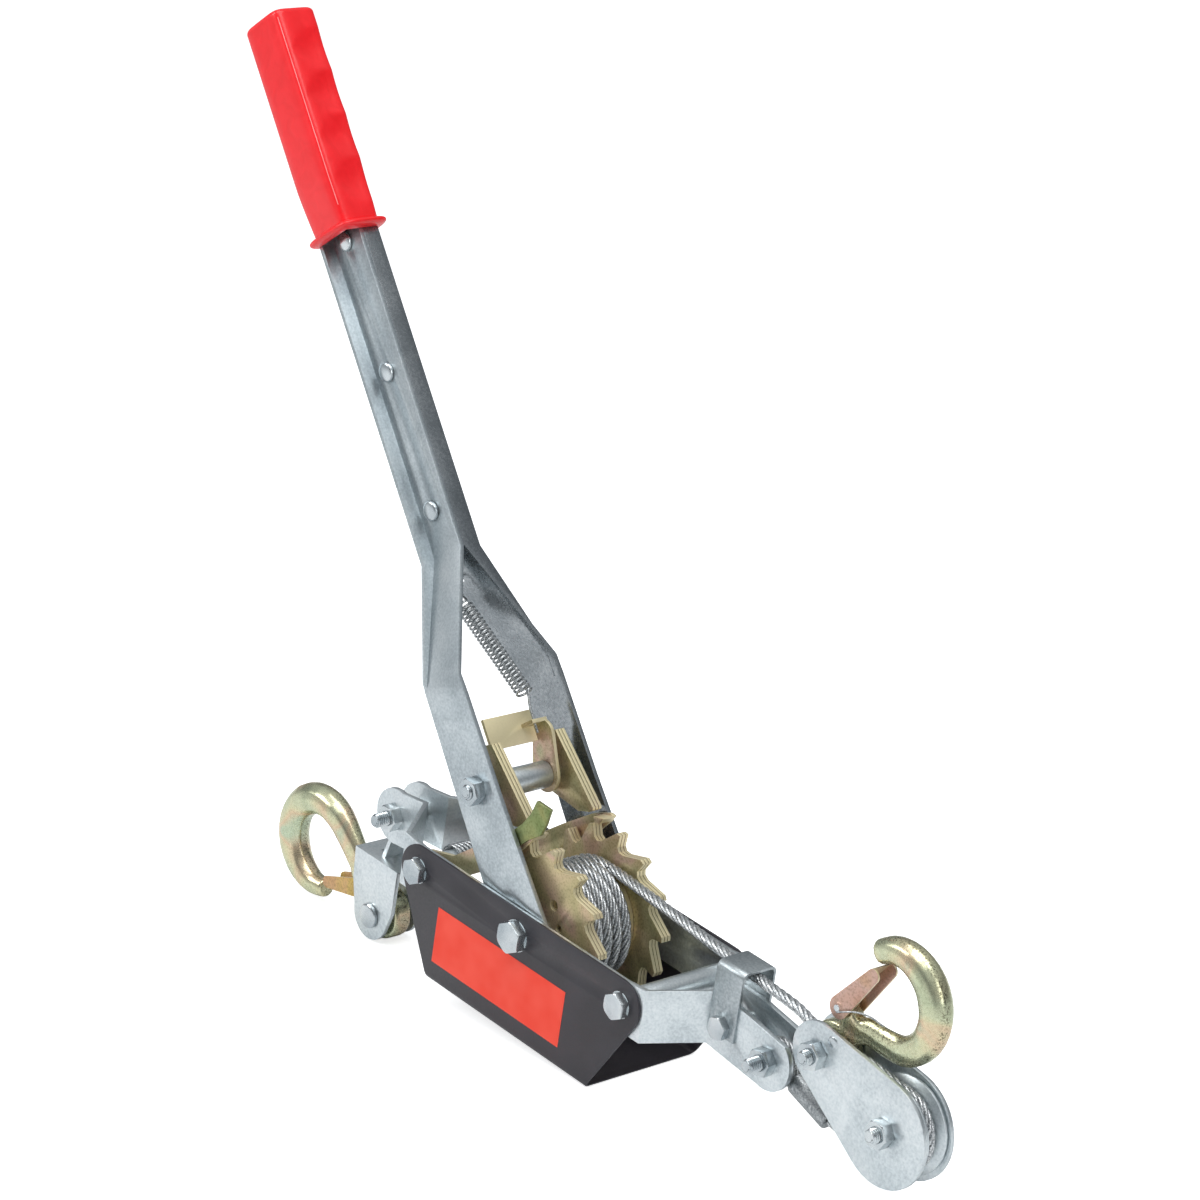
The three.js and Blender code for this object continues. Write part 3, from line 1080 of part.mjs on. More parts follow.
const BLOCK_OUTER = BLOCK_GAP / 2 + BLOCK_SHEET;
add(frame, 'block_plate_front', blockPlate(-1), steelZinc);
add(frame, 'block_plate_rear', blockPlate(1), steelZinc);
add(frame, 'sheave', sheave(), steelZinc);
for (const [name, pin] of [['hook', HOOK_PIN], ['sheave', SHEAVE_PIN]]) {
  add(frame, `${name}_bolt`, bolt(M8, ...pin, BLOCK_OUTER, -BLOCK_OUTER, THREAD_END), steelZinc);
  add(frame, `${name}_nut`, nut(M8, ...pin, BLOCK_OUTER, -BLOCK_OUTER), steelZinc);
}
add(frame, 'front_hook', frontHook(), yellowZinc);
add(frame, 'front_latch', latch(FRONT_LATCH_PIN, FRONT_LATCH_TIP, FRONT_HOOK_SIDE, 6), yellowZinc);

add(frame, 'cable_lead', cableLead(), cableSteel);
add(frame, 'cable_upper_span', upperSpan(), cableSteel);
add(frame, 'cable_bight', cableBight(), cableSteel);
add(frame, 'cable_lower_span', lowerSpan(), cableSteel);
add(frame, 'cable_anchor', cableAnchor(), cableSteel);

export default winch;
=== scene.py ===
"""Looks of a hand-lever cable winch: finishes, fasteners, wire rope, springs, hooks and studio.

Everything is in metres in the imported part's own frame: +X towards the pulley
block, -Y towards the side with the coloured sticker, +Z up. The classes' own
sizes are in mm and their angles in degrees, unless a comment says otherwise.
"""

import json
import logging
from dataclasses import dataclass, field
from enum import Enum
from math import atan2, cos, hypot, pi, radians, sin, tau
from typing import Callable, Iterable, Sequence

import bpy
from mathutils import Matrix, Vector
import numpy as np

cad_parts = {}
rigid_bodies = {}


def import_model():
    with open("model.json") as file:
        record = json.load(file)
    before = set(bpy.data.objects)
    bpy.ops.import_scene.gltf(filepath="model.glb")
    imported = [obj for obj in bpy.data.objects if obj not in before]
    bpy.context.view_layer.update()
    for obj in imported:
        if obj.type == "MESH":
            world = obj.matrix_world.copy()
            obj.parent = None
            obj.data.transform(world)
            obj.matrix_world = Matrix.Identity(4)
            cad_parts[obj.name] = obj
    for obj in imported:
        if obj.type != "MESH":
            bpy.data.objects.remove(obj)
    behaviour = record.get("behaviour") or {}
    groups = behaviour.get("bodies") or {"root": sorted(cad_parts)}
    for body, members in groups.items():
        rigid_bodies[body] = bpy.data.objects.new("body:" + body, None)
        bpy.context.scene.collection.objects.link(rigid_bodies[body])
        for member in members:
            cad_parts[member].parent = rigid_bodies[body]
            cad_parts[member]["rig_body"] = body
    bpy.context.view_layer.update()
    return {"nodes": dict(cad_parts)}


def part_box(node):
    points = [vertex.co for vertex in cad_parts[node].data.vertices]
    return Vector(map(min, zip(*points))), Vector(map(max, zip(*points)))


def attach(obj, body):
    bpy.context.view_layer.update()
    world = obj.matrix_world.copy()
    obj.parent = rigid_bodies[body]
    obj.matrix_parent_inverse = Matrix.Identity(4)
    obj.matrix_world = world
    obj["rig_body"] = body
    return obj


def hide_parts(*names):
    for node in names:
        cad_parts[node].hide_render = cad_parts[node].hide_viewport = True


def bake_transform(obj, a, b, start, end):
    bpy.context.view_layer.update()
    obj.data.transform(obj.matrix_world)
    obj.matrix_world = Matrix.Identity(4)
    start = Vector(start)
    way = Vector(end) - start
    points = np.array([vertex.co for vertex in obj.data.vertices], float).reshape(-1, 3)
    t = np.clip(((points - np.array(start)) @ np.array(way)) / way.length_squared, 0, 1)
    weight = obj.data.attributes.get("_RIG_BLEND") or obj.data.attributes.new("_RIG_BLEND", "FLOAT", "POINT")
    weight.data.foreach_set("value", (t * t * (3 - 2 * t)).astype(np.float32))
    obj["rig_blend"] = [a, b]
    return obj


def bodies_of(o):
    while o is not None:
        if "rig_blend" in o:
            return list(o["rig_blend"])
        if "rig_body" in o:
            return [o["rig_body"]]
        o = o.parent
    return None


LOG = logging.getLogger("winch")
MM = 0.001
FRAME_TILT = radians(6.0)       # the frame stands nose down
FRAME_LIFT = 57.0 * MM          # axle above the cover's underside
HANDLE_LEAN = radians(39.3)     # handle from square to the frame
FRAME_TO_PART = Matrix.Rotation(FRAME_TILT, 4, "Y") @ Matrix.Translation((0, 0, FRAME_LIFT))
HANDLE_TO_PART = FRAME_TO_PART @ Matrix.Rotation(-HANDLE_LEAN, 4, "Y")
TO_Y = Matrix.Rotation(-pi / 2, 4, "X")     # turns a piece built up +Z to lie along +Y

Point = tuple[float, float, float]
Pair = tuple[float, float]
Stops = Sequence[tuple[float, str]]
Piece = bpy.types.Object
Socket = bpy.types.NodeSocket


def in_frame(x: float, z: float, y: float = 0.0) -> Vector:
    """A point given in mm in the winch frame's own plane, in part metres."""
    return FRAME_TO_PART @ Vector((x * MM, y * MM, z * MM))


def in_handle(x: float, z: float, y: float = 0.0) -> Vector:
    """A point given in mm across and along the handle, in part metres."""
    return HANDLE_TO_PART @ Vector((x * MM, y * MM, z * MM))


def route_in(place: Callable[..., Vector], *points: Sequence[float]) -> list[Vector]:
    """Points given to in_frame or in_handle as x, z and, where it isn't 0, y."""
    return [place(*point) for point in points]


# ---- colour and nodes


def linear(hex_colour: str) -> tuple[float, float, float, float]:
    """Turns an sRGB hex colour into linear RGBA.

    Args:
        hex_colour: a colour such as "#c9d0d4".

    Returns:
        Linear red, green, blue and an alpha of 1.
    """
    parts = [int(hex_colour[i : i + 2], 16) / 255 for i in (1, 3, 5)]
    red, green, blue = (c / 12.92 if c <= 0.04045 else ((c + 0.055) / 1.055) ** 2.4 for c in parts)
    return (red, green, blue, 1.0)


class Shading:
    """Adds nodes to one node tree."""

    def __init__(self, tree: bpy.types.NodeTree) -> None:
        """Keeps the tree that the nodes go to."""
        self.tree = tree

    def plug(self, node: bpy.types.Node, inputs: dict) -> bpy.types.Node:
        """Gives a node's inputs their constants, or the sockets that feed them."""
        for name, value in inputs.items():
            if isinstance(value, Socket):
                self.tree.links.new(value, node.inputs[name])
            else:
                node.inputs[name].default_value = value
        return node

    def node(self, kind: str, inputs: dict | None = None, **settings: object) -> bpy.types.Node:
        """Adds a node.

        Args:
            kind: the node's type name, without ShaderNode.
            inputs: input names or indices, each with a constant or a socket.
            settings: the node's own attributes.

        Returns:
            The new node.
        """
        node = self.tree.nodes.new(f"ShaderNode{kind}")
        for name, value in settings.items():
            setattr(node, name, value)
        return self.plug(node, inputs or {})

    def ramp(self, factor: Socket, stops: Stops) -> Socket:
        """A colour ramp through sRGB hex stops, fed by a factor."""
        node = self.node("ValToRGB", {"Fac": factor})
        elements = node.color_ramp.elements
        while len(elements) < len(stops):
            elements.new(0.5)
        for element, (place, colour) in zip(elements, stops):
            element.position = place
            element.color = linear(colour)
        return node.outputs["Color"]

    def mapped(self, value: Socket, start: Pair, end: Pair = (0.0, 1.0)) -> Socket:
        """Maps a value from one range to another, and stops at its ends."""
        limits = {"From Min": start[0], "From Max": start[1], "To Min": end[0], "To Max": end[1]}
        return self.node("MapRange", {"Value": value, **limits}).outputs["Result"]

    def spread(self, noise: Socket, end: Pair) -> Socket:
        """Maps noise, which mostly lies in 0.3..0.7, to a range."""
        return self.mapped(noise, (0.3, 0.7), end)

    def speckle(self, size_mm: float, detail: float = 2.0, warp: float = 0.0) -> Socket:
        """Noise on Object coordinates whose features are about size_mm across."""
        place = self.node("TexCoord").outputs["Object"]
        looks = {"Scale": 1.0 / (size_mm * MM), "Detail": detail, "Distortion": warp}
        return self.node("TexNoise", {"Vector": place, **looks}).outputs["Fac"]

    def relief(self, height: Socket, strength: float, depth_mm: float) -> Socket:
        """A bump of a stated depth, from a height."""
        inputs = {"Height": height, "Strength": strength, "Distance": depth_mm * MM}
        return self.node("Bump", inputs).outputs["Normal"]

    def maths(self, operation: str, first: Socket, second: Socket | float = 0.0) -> Socket:
        """One arithmetic step."""
        return self.node("Math", {0: first, 1: second}, operation=operation).outputs["Value"]

    def mix(self, share: Socket | float, first: Socket, second: Socket | tuple, blend: str = "MIX") -> Socket:
        """Two colours mixed, or blended in another way."""
        colours = {0: share, 6: first, 7: second}
        return self.node("Mix", colours, data_type="RGBA", blend_type=blend).outputs[2]

    def axis(self, vector: Socket, name: str) -> Socket:
        """One component of a vector: X, Y or Z."""
        return self.node("SeparateXYZ", {"Vector": vector}).outputs[name]


class Finish(Shading):
    """Base of the finishes: builds a material once and hands it out.

    A noise is its features' size in mm, its detail and its warp. A dent is the relief's
    strength and its depth in mm.
    """

    name: str = "finish"
    slot: str = "zinc_steel"
    stops: Stops = ()
    rough: Pair = (0.4, 0.3)
    dent: Pair = (0.1, 0.1)
    tint: tuple[float, ...] = (30, 3)       # the noise that colours it
    grain: tuple[float, ...] = (1.5, 2)     # the noise that roughens it
    fixed: dict[str, float] = {"Metallic": 0.0}

    def __init__(self) -> None:
        """Makes the material and feeds its principled shader."""
        self.material = bpy.data.materials.new(self.name)
        self.material.use_nodes = True
        super().__init__(self.material.node_tree)
        colour, grain, height = self.layers()
        self.plug(self.tree.nodes["Principled BSDF"], {
            **self.fixed,
            "Base Color": colour,
            "Roughness": self.spread(grain, self.rough),
            "Normal": self.relief(height, *self.dent),
        })

    def layers(self) -> tuple[Socket, Socket, Socket]:
        """The colour, the noise of the roughness and the height of the relief."""
        grain = self.speckle(*self.grain)
        return self.ramp(self.speckle(*self.tint), self.stops), grain, grain


class BrightZincSheet(Finish):
    """Electroplated zinc on pressed sheet steel: blue-white, faint mottling, satin reflections."""

    name = "bright_zinc_sheet"
    stops = [(0.35, "#b9c2c6"), (0.5, "#ced6d9"), (0.65, "#dde3e5")]
    rough = (0.42, 0.3)
    dent = (0.09, 0.1)
    tint = (26, 2, 0.5)
    grain = (1.4, 3)
    fixed = {"Metallic": 0.9}
    mottle = 0.5        # how much of the grain is in the colour, next to the broad clouds

    def layers(self) -> tuple[Socket, Socket, Socket]:
        """Plating grain over cloudy patches."""
        grain = self.speckle(*self.grain)
        both = {0: self.mottle, 2: self.speckle(*self.tint), 3: grain}
        mottled = self.node("Mix", both, data_type="FLOAT").outputs[0]
        return self.ramp(mottled, self.stops), mottled, grain


class ZincFastener(BrightZincSheet):
    """Barrel-plated bolts, nuts and rivets: the same zinc on turned steel, a little glossier."""

    name = "zinc_fastener"
    stops = [(0.35, "#a7b0b5"), (0.5, "#c3cacd"), (0.65, "#d7dcdd")]
    rough = (0.27, 0.19)
    dent = (0.03, 0.1)
    mottle = 0.15


class ShadedFrontHandleZinc(BrightZincSheet):
    """The handle's channels: the same plating painted greyer all over, as painted shade for the shade that
    they stand in.
    """

    name = "front_handle_painted_shade_zinc"
    stops = [(0.35, "#a0a9ae"), (0.5, "#b5bec2"), (0.65, "#c8cfd2")]
    rough = (0.38, 0.28)


class GuideStrapZinc(BrightZincSheet):
    """The cable's guide: hot-dip grey, grainier than the plated sheets."""

    name = "guide_strap_zinc"
    stops = [(0.35, "#969fa3"), (0.5, "#adb5b8"), (0.65, "#c3c9cb")]
    dent = (0.12, 0.1)


class ShadedZincPressing(BrightZincSheet):
    """The handle's rear half: the same plating painted darker still, as painted shade for its inner face,
    which lies deepest in shade.
    """

    name = "shaded_zinc_pressing"
    stops = [(0.35, "#797f83"), (0.5, "#8c9296"), (0.65, "#a4a9ac")]
    rough = (0.32, 0.22)


class YellowChromate(Finish):
    """Yellow chromated zinc: straw and tan with faint pink and green interference."""

    name = "yellow_chromate"
    slot = "yellow_zinc"
    stops = [(0.28, "#a3a073"), (0.42, "#b9ad82"), (0.52, "#c8b68f"), (0.62, "#cdae98"), (0.72, "#b6b18c")]
    dent = (0.06, 0.15)
    tint = (30, 1.5, 0.8)
    grain = (1.2, 3)
    fixed = {"Metallic": 0.55}
    depth = "#c4c0b8"       # the grain's darkest shade
    edge = "#eee2ba"        # the colour of the cut edges
    edge_paling = 0.8              # how far they take it

    def layers(self) -> tuple[Socket, Socket, Socket]:
        """Interference patches, a fine grain, and the faces that don't face along Y, the cut edges, painted
        paler.
        """
        grain = self.speckle(*self.grain)
        tint = self.ramp(self.speckle(*self.tint), self.stops)
        shade = self.ramp(grain, [(0.33, self.depth), (0.5, "#f6f6f6"), (0.62, "#ffffff")])
        film = self.mix(0.6, tint, shade, "MULTIPLY")
        facing = self.axis(self.node("NewGeometry").outputs["True Normal"], "Y")
        cut_edge = self.mapped(self.maths("ABSOLUTE", facing), (0.6, 0.2), (0.0, self.edge_paling))
        return self.over(self.mix(cut_edge, film, linear(self.edge))), grain, grain

    def over(self, colour: Socket) -> Socket:
        """What lies over the film; plain parts have nothing."""
        return colour


class ForgedChromate(YellowChromate):
    """Chromate on a forged hook: pale green-gold, with dark pits along the trimmed parting line."""

    name = "forged_chromate"
    stops = [(0.3, "#bcc5a5"), (0.42, "#cfd3b2"), (0.52, "#d9d5b0"), (0.6, "#dfc8a8"), (0.7, "#c3cfb3")]
    rough = (0.32, 0.22)
    fixed = {"Metallic": 0.88}
    depth = "#dcdcd8"
    edge_paling = 0.0
    parting = 1.8 * MM              # Y of the parting plane
    band = (3.2 * MM, 1.6 * MM)     # from that plane, where the pits begin and are thickest

    def over(self, colour: Socket) -> Socket:
        """Pits about 1 mm across in a band about the parting plane."""
        side = self.axis(self.node("TexCoord").outputs["Object"], "Y")
        away = self.maths("ABSOLUTE", self.maths("SUBTRACT", side, self.parting))
        pits = self.mapped(self.speckle(1.0, 3), (0.52, 0.6), (0.0, 0.75))
        dark = self.maths("MULTIPLY", self.mapped(away, self.band), pits)
        return self.mix(dark, colour, linear("#5d5844"))


class CopperChromate(YellowChromate):
    """A latch with a thick chromate film, which turns copper and pink."""

    name = "copper_chromate"
    stops = [(0.3, "#b98f76"), (0.45, "#c7a08f"), (0.55, "#cba99a"), (0.65, "#c39a72"), (0.75, "#b7a87a")]


class BrassyChromate(YellowChromate):
    """The rear latch: fresh bright yellow chromate."""

    name = "brassy_chromate"
    stops = [(0.3, "#bb9c52"), (0.45, "#cdb064"), (0.55, "#d0a874"), (0.65, "#c99c72"), (0.75, "#c2b25e")]


class GreenChromate(YellowChromate):
    """The release lever: chromate that dried olive green."""

    name = "green_chromate"
    slot = "green_zinc"
    stops = [(0.3, "#646f46"), (0.45, "#788654"), (0.55, "#8a9462"), (0.65, "#95945f"), (0.75, "#6f7f54")]
    fixed = {"Metallic": 0.8}
    edge = "#aaa97e"
    edge_paling = 0.4


class BlackPaint(Finish):
    """Sprayed satin enamel on sheet steel: charcoal, with orange peel and faint dusty clouds."""

    name = "black_satin_enamel"
    slot = "black_paint"
    stops = [(0.35, "#28262b"), (0.65, "#302e34")]
    rough = (0.48, 0.4)
    fixed = {"Metallic": 0.0, "IOR": 1.5}


class StickerFilm(Finish):
    """Printed vinyl film, left bare: flat orange-red with a slight sheen and broad bubbles."""

    name = "sticker_film"
    slot = "black_paint"
    stops = [(0.3, "#ee3f28"), (0.7, "#f34a34")]
    rough = (0.6, 0.52)
    dent = (0.05, 0.1)
    tint = grain = (12, 1)
    fixed = {"Metallic": 0.0, "IOR": 1.46}


class RedVinyl(Finish):
    """Moulded glossy PVC: saturated red with soft highlights and gentle sink marks."""

    name = "red_moulded_vinyl"
    slot = "red_grip"
    stops = [(0.3, "#e61018"), (0.7, "#f01a22")]
    dent = (0.35, 0.5)
    tint = (9, 2, 0.8)
    grain = (2.5, 2)
    rough = (0.4, 0.32)
    fixed = {"Metallic": 0.0, "IOR": 1.42, "Coat Weight": 0.35, "Coat Roughness": 0.12}

    def layers(self) -> tuple[Socket, Socket, Socket]:
        """Sink marks in the colour and the relief, under a smooth skin."""
        sink = self.speckle(*self.tint)
        return self.ramp(sink, self.stops), self.speckle(*self.grain), sink


class VinylSeamHighlight(RedVinyl):
    """The thin line of flash where the mould's halves met: painted paler red, a painted highlight along its
    ridge.
    """

    name = "red_vinyl_seam_painted_highlight"
    stops = [(0.3, "#ff7f80"), (0.7, "#ff9a9a")]


class GalvanisedWire(Finish):
    """Drawn and galvanised steel wire: its 0.4 mm wires are drawn 0.8 mm apart to show."""

    name = "galvanised_wire"
    slot = "wire_cable"
    stops = [(0.35, "#7f8386"), (0.5, "#b4b8ba"), (0.62, "#e4e6e7")]
    rough = (0.42, 0.28)
    dent = (0.3, 0.2)
    tint = grain = (0.8, 3)
    fixed = {"Metallic": 0.85}


class SpringWire(GalvanisedWire):
    """Hard-drawn spring wire, zinc plated and smooth."""

    name = "spring_wire"
    slot = "zinc_steel"
    stops = [(0.35, "#8c9194"), (0.5, "#b2b6b8"), (0.62, "#d2d5d6")]
    dent = (0.04, 0.2)


class PressedSleeve(GalvanisedWire):
    """The cable's soft ferrule: dull grey, with the marks of the press."""

    name = "pressed_ferrule"
    stops = [(0.35, "#7e8386"), (0.5, "#9a9ea0"), (0.62, "#b4b8b9")]
    dent = (0.12, 0.2)


# ---- modelling helpers


def only(piece: Piece) -> Piece:
    """Selects one object alone and makes it active."""
    bpy.ops.object.select_all(action="DESELECT")
    piece.select_set(True)
    bpy.context.view_layer.objects.active = piece
    return piece


def add_object(name: str, data: bpy.types.ID) -> Piece:
    """A new object in the scene, selected alone."""
    piece = bpy.data.objects.new(name, data)
    bpy.context.scene.collection.objects.link(piece)
    return only(piece)


def with_modifier(piece: Piece, kind: str, **settings: object) -> Piece:
    """Adds a modifier with its settings and applies it."""
    only(piece)
    modifier = piece.modifiers.new(kind.lower(), kind)
    for name, value in settings.items():
        setattr(modifier, name, value)
    bpy.ops.object.modifier_apply(modifier=modifier.name)
    return piece


def break_edges(piece: Piece, width_mm: float, angle: float, segments: int = 2) -> Piece:
    """Rounds every edge that turns by more than an angle in degrees."""
    limit = {"limit_method": "ANGLE", "angle_limit": radians(angle)}
    return with_modifier(piece, "BEVEL", width=width_mm * MM, segments=segments, **limit)


def boolean(piece: Piece, operation: str, tool: Piece) -> Piece:
    """Cuts a piece with a tool, and removes the tool."""
    with_modifier(piece, "BOOLEAN", operation=operation, object=tool, solver="EXACT")
    bpy.data.objects.remove(tool)
    return piece


def smooth(piece: Piece, angle: float = 35.0) -> Piece:
    """Shades a piece smooth below an edge angle in degrees."""
    only(piece)
    bpy.ops.object.shade_smooth_by_angle(angle=radians(angle))
    return piece


def settle(piece: Piece, name: str = "") -> Piece:
    """Puts an object's place into its mesh, and names it."""
    only(piece)
    bpy.ops.object.transform_apply(location=True, rotation=True, scale=True)
    piece.name = name or piece.name
    return piece


def rod(name: str, radius: float, length: float, sides: int, middle: float = 0.0) -> Piece:
    """A cylinder about Z, in mm, whose middle is at a height."""
    bpy.ops.mesh.primitive_cylinder_add(
        vertices=sides, radius=radius * MM, depth=length * MM, location=(0, 0, middle * MM))
    return settle(bpy.context.object, name)


def cuboid(name: str, size: Point) -> Piece:
    """A cuboid about the origin, in mm."""
    bpy.ops.mesh.primitive_cube_add(size=1)
    bpy.context.object.scale = Vector(size) * MM
    return settle(bpy.context.object, name)


def edit(piece: Piece, merge_mm: float = 0.0, outward: bool = True) -> None:
    """Merges near vertices, and turns the faces outward or else fuses flat regions."""
    only(piece)
    bpy.ops.object.mode_set(mode="EDIT")
    bpy.ops.mesh.select_all(action="SELECT")
    if merge_mm:
        bpy.ops.mesh.remove_doubles(threshold=merge_mm * MM)
    if outward:
        bpy.ops.mesh.normals_make_consistent(inside=False)
    else:
        bpy.ops.mesh.dissolve_limited(angle_limit=radians(1.0))
    bpy.ops.object.mode_set(mode="OBJECT")


def copy_of(node: Piece, name: str) -> Piece:
    """A free, merged copy of a CAD node's mesh, with flat regions as single faces."""
    piece = add_object(name, node.data.copy())
    edit(piece, 0.002, outward=False)
    return piece


def outline(name: str, rows: Sequence[Pair]) -> Piece:
    """A line of radii and heights in mm, ready to be turned about Z."""
    mesh = bpy.data.meshes.new(name)
    mesh.from_pydata([(r * MM, 0, h * MM) for r, h in rows], [(i, i + 1) for i in range(len(rows) - 1)], [])
    return add_object(name, mesh)


def joined(name: str, parts: Sequence[Piece]) -> Piece:
    """Joins parts into the first and names it."""
    only(parts[0])
    for part in parts[1:]:
        part.select_set(True)
    bpy.ops.object.join()
    parts[0].name = name
    return parts[0]


def dress(piece: Piece, coat: Finish) -> Piece:
    """Gives a piece its finish."""
    piece.data.materials.clear()
    piece.data.materials.append(coat.material)
    return piece


def finish_piece(piece: Piece, body: str, coat: Finish, nodes: Iterable[str] = ()) -> Piece:
    """Dresses a finished piece and ties it to its body.

    Args:
        piece: the mesh, in part metres.
        body: the body that it moves with.
        coat: its finish.
        nodes: the CAD nodes that it stands for.

    Returns:
        The same piece.
    """
    dress(piece, coat)
    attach(piece, body)
    if nodes:
        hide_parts(*nodes)
    LOG.info("%s: %d faces on %s", piece.name, len(piece.data.polygons), body)
    return piece


def wire_piece(name: str, routes: Sequence[Sequence[Vector]], radius_mm: float, sides: int = 3) -> Piece:
    """Round wires along open routes, as one mesh with closed ends.

    Args:
        name: the piece's name.
        routes: lists of points in part metres.
        radius_mm: the wire's radius.
        sides: the curve's bevel resolution.

    Returns:
        The mesh object.
    """
    curve = bpy.data.curves.new(name, "CURVE")
    curve.dimensions = "3D"
    curve.bevel_depth = radius_mm * MM
    curve.bevel_resolution = sides
    curve.use_fill_caps = True
    for route in routes:
        spline = curve.splines.new("POLY")
        spline.points.add(len(route) - 1)
        for point, place in zip(spline.points, route):
            point.co = (*place, 1.0)
    add_object(name, curve)
    bpy.ops.object.convert(target="MESH")
    return smooth(bpy.context.view_layer.objects.active, 60)


def smooth_route(points: Sequence[Vector], step_mm: float, fineness: int = 12) -> list[Vector]:
    """Evenly spaced points along a centripetal Catmull-Rom curve.

    Args:
        points: the points that the curve passes through.
        step_mm: the spacing.
        fineness: how many steps between two points measure the curve.

    Returns:
        The new points.
    """
    ends = [points[0] * 2 - points[1], *points, points[-1] * 2 - points[-2]]
    fine: list[Vector] = []
    for a, b, c, d in zip(ends, ends[1:], ends[2:], ends[3:]):
        knots = [0.0]
        for p, q in ((a, b), (b, c), (c, d)):
            knots.append(knots[-1] + max((q - p).length, 1e-9) ** 0.5)
        k0, k1, k2, k3 = knots
        for k in range(fineness):
            t = k1 + (k2 - k1) * k / fineness
            a1 = a.lerp(b, (t - k0) / (k1 - k0))
            a2 = b.lerp(c, (t - k1) / (k2 - k1))
            a3 = c.lerp(d, (t - k2) / (k3 - k2))
            b1 = a1.lerp(a2, (t - k0) / (k2 - k0))
            b2 = a2.lerp(a3, (t - k1) / (k3 - k1))
            fine.append(b1.lerp(b2, (t - k1) / (k2 - k1)))
    fine.append(points[-1].copy())
    lengths = [0.0]
    for p, q in zip(fine, fine[1:]):
        lengths.append(lengths[-1] + (q - p).length)
    count = max(2, round(lengths[-1] / (step_mm * MM)))
    route, place = [], 0
    for i in range(count + 1):
        want = lengths[-1] * i / count
        while place < len(lengths) - 2 and lengths[place + 1] < want:
            place += 1
        span = max(lengths[place + 1] - lengths[place], 1e-12)
        route.append(fine[place].lerp(fine[place + 1], (want - lengths[place]) / span))
    return route


def coil(base: Matrix, radius_mm: float, turns: int, length_mm: float, steps: int = 20) -> list[Vector]:
    """A helix about the base's own Z axis, starting on its X axis."""
    radius, rise = radius_mm * MM, length_mm * MM / turns
    laps = [i / steps for i in range(turns * steps + 1)]
    return [base @ Vector((radius * cos(tau * lap), radius * sin(tau * lap), rise * lap)) for lap in laps]


def body_of(node: str) -> str:
    """The body that a CAD node moves with."""
    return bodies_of(bpy.data.objects[node])[0]


# ---- pressed and turned parts


@dataclass
class PressedParts:
    """Sheet and turned parts, whose CAD shapes stay but get broken edges."""

    coats: dict[str, Finish]
    edge: float = 0.35
    laminated: tuple[str, ...] = ("drive_pawl_front", "drive_pawl_rear")
    sheets: int = 3
    seam: float = 0.42

    def sides(self, piece: Piece) -> Pair:
        """The least and the greatest Y of a piece, in metres."""
        values = [vertex.co.y for vertex in piece.data.vertices]
        return min(values), max(values)

    def thin(self, piece: Piece) -> None:
        """Draws a wheel's sheet in by the seam that shows between neighbouring sheets."""
        low, high = self.sides(piece)
        middle, half = (high + low) / 2, (high - low) / 2
        for vertex in piece.data.vertices:
            vertex.co.y = middle + (vertex.co.y - middle) * (1 - self.seam * MM / 2 / half)

    def split(self, piece: Piece) -> Piece:
        """Turns a thick plate into sheets that lie on each other, with a hair's gap."""
        low, high = self.sides(piece)
        pitch = (high - low) / self.sheets
        parts = [piece]
        for _ in range(self.sheets - 1):
            only(piece)
            bpy.ops.object.duplicate()
            parts.append(bpy.context.object)
        for i, part in enumerate(parts):
            for vertex in part.data.vertices:
                share = (vertex.co.y - low) / (pitch * self.sheets)
                vertex.co.y = low + pitch * i + self.seam / 2 * MM + share * (pitch - self.seam * MM)
        return joined(piece.name, parts)

    def build(self, nodes: dict[str, Piece]) -> None:
        """Copies each node, rounds its edges and dresses it."""
        for name, coat in self.coats.items():
            piece = copy_of(nodes[name], f"{name}_finished")
            if name in self.laminated:
                piece = self.split(piece)
            elif "_wheel_" in name:
                self.thin(piece)
            break_edges(piece, self.edge, 28)
            smooth(piece, 30)
            finish_piece(piece, body_of(name), coat, [name])


# ---- fasteners


@dataclass(frozen=True)
class BoltSize:
    """A standard metric bolt: radii and lengths in mm."""

    shank: float
    corner: float
    head: float
    nut: float
    pitch: float


class HeadSide(Enum):
    """Which side of the winch a bolt's head lies on, as a sign along Y."""

    FRONT = -1
    REAR = 1


M10 = BoltSize(5.0, 9.2, 6.4, 8.0, 1.5)
M8 = BoltSize(4.0, 7.6, 5.3, 6.5, 1.25)
M6 = BoltSize(3.0, 6.6, 4.4, 5.0, 1.0)
HEAD_CIRCLE = 0.9       # the flat circle on a head or nut, as a share of its corner radius
CHAMFER_SLOPE = 1.73    # how far a head's chamfer runs out for each mm down: 30 degrees
COLLAR_SHARE = 0.95     # the washer face under a head, as a share of its corner radius
THREAD_DEPTH = 0.61     # a thread's depth, as a share of its pitch
TIP_CHAMFER = 1.2       # length of the chamfer at a bolt's tip
SHANK_DRAW = 0.1        # how much thinner the plain shank is than the thread's crests, in radius
SEAT_GAP = 0.02         # keeps a head's top just inside its CAD solid


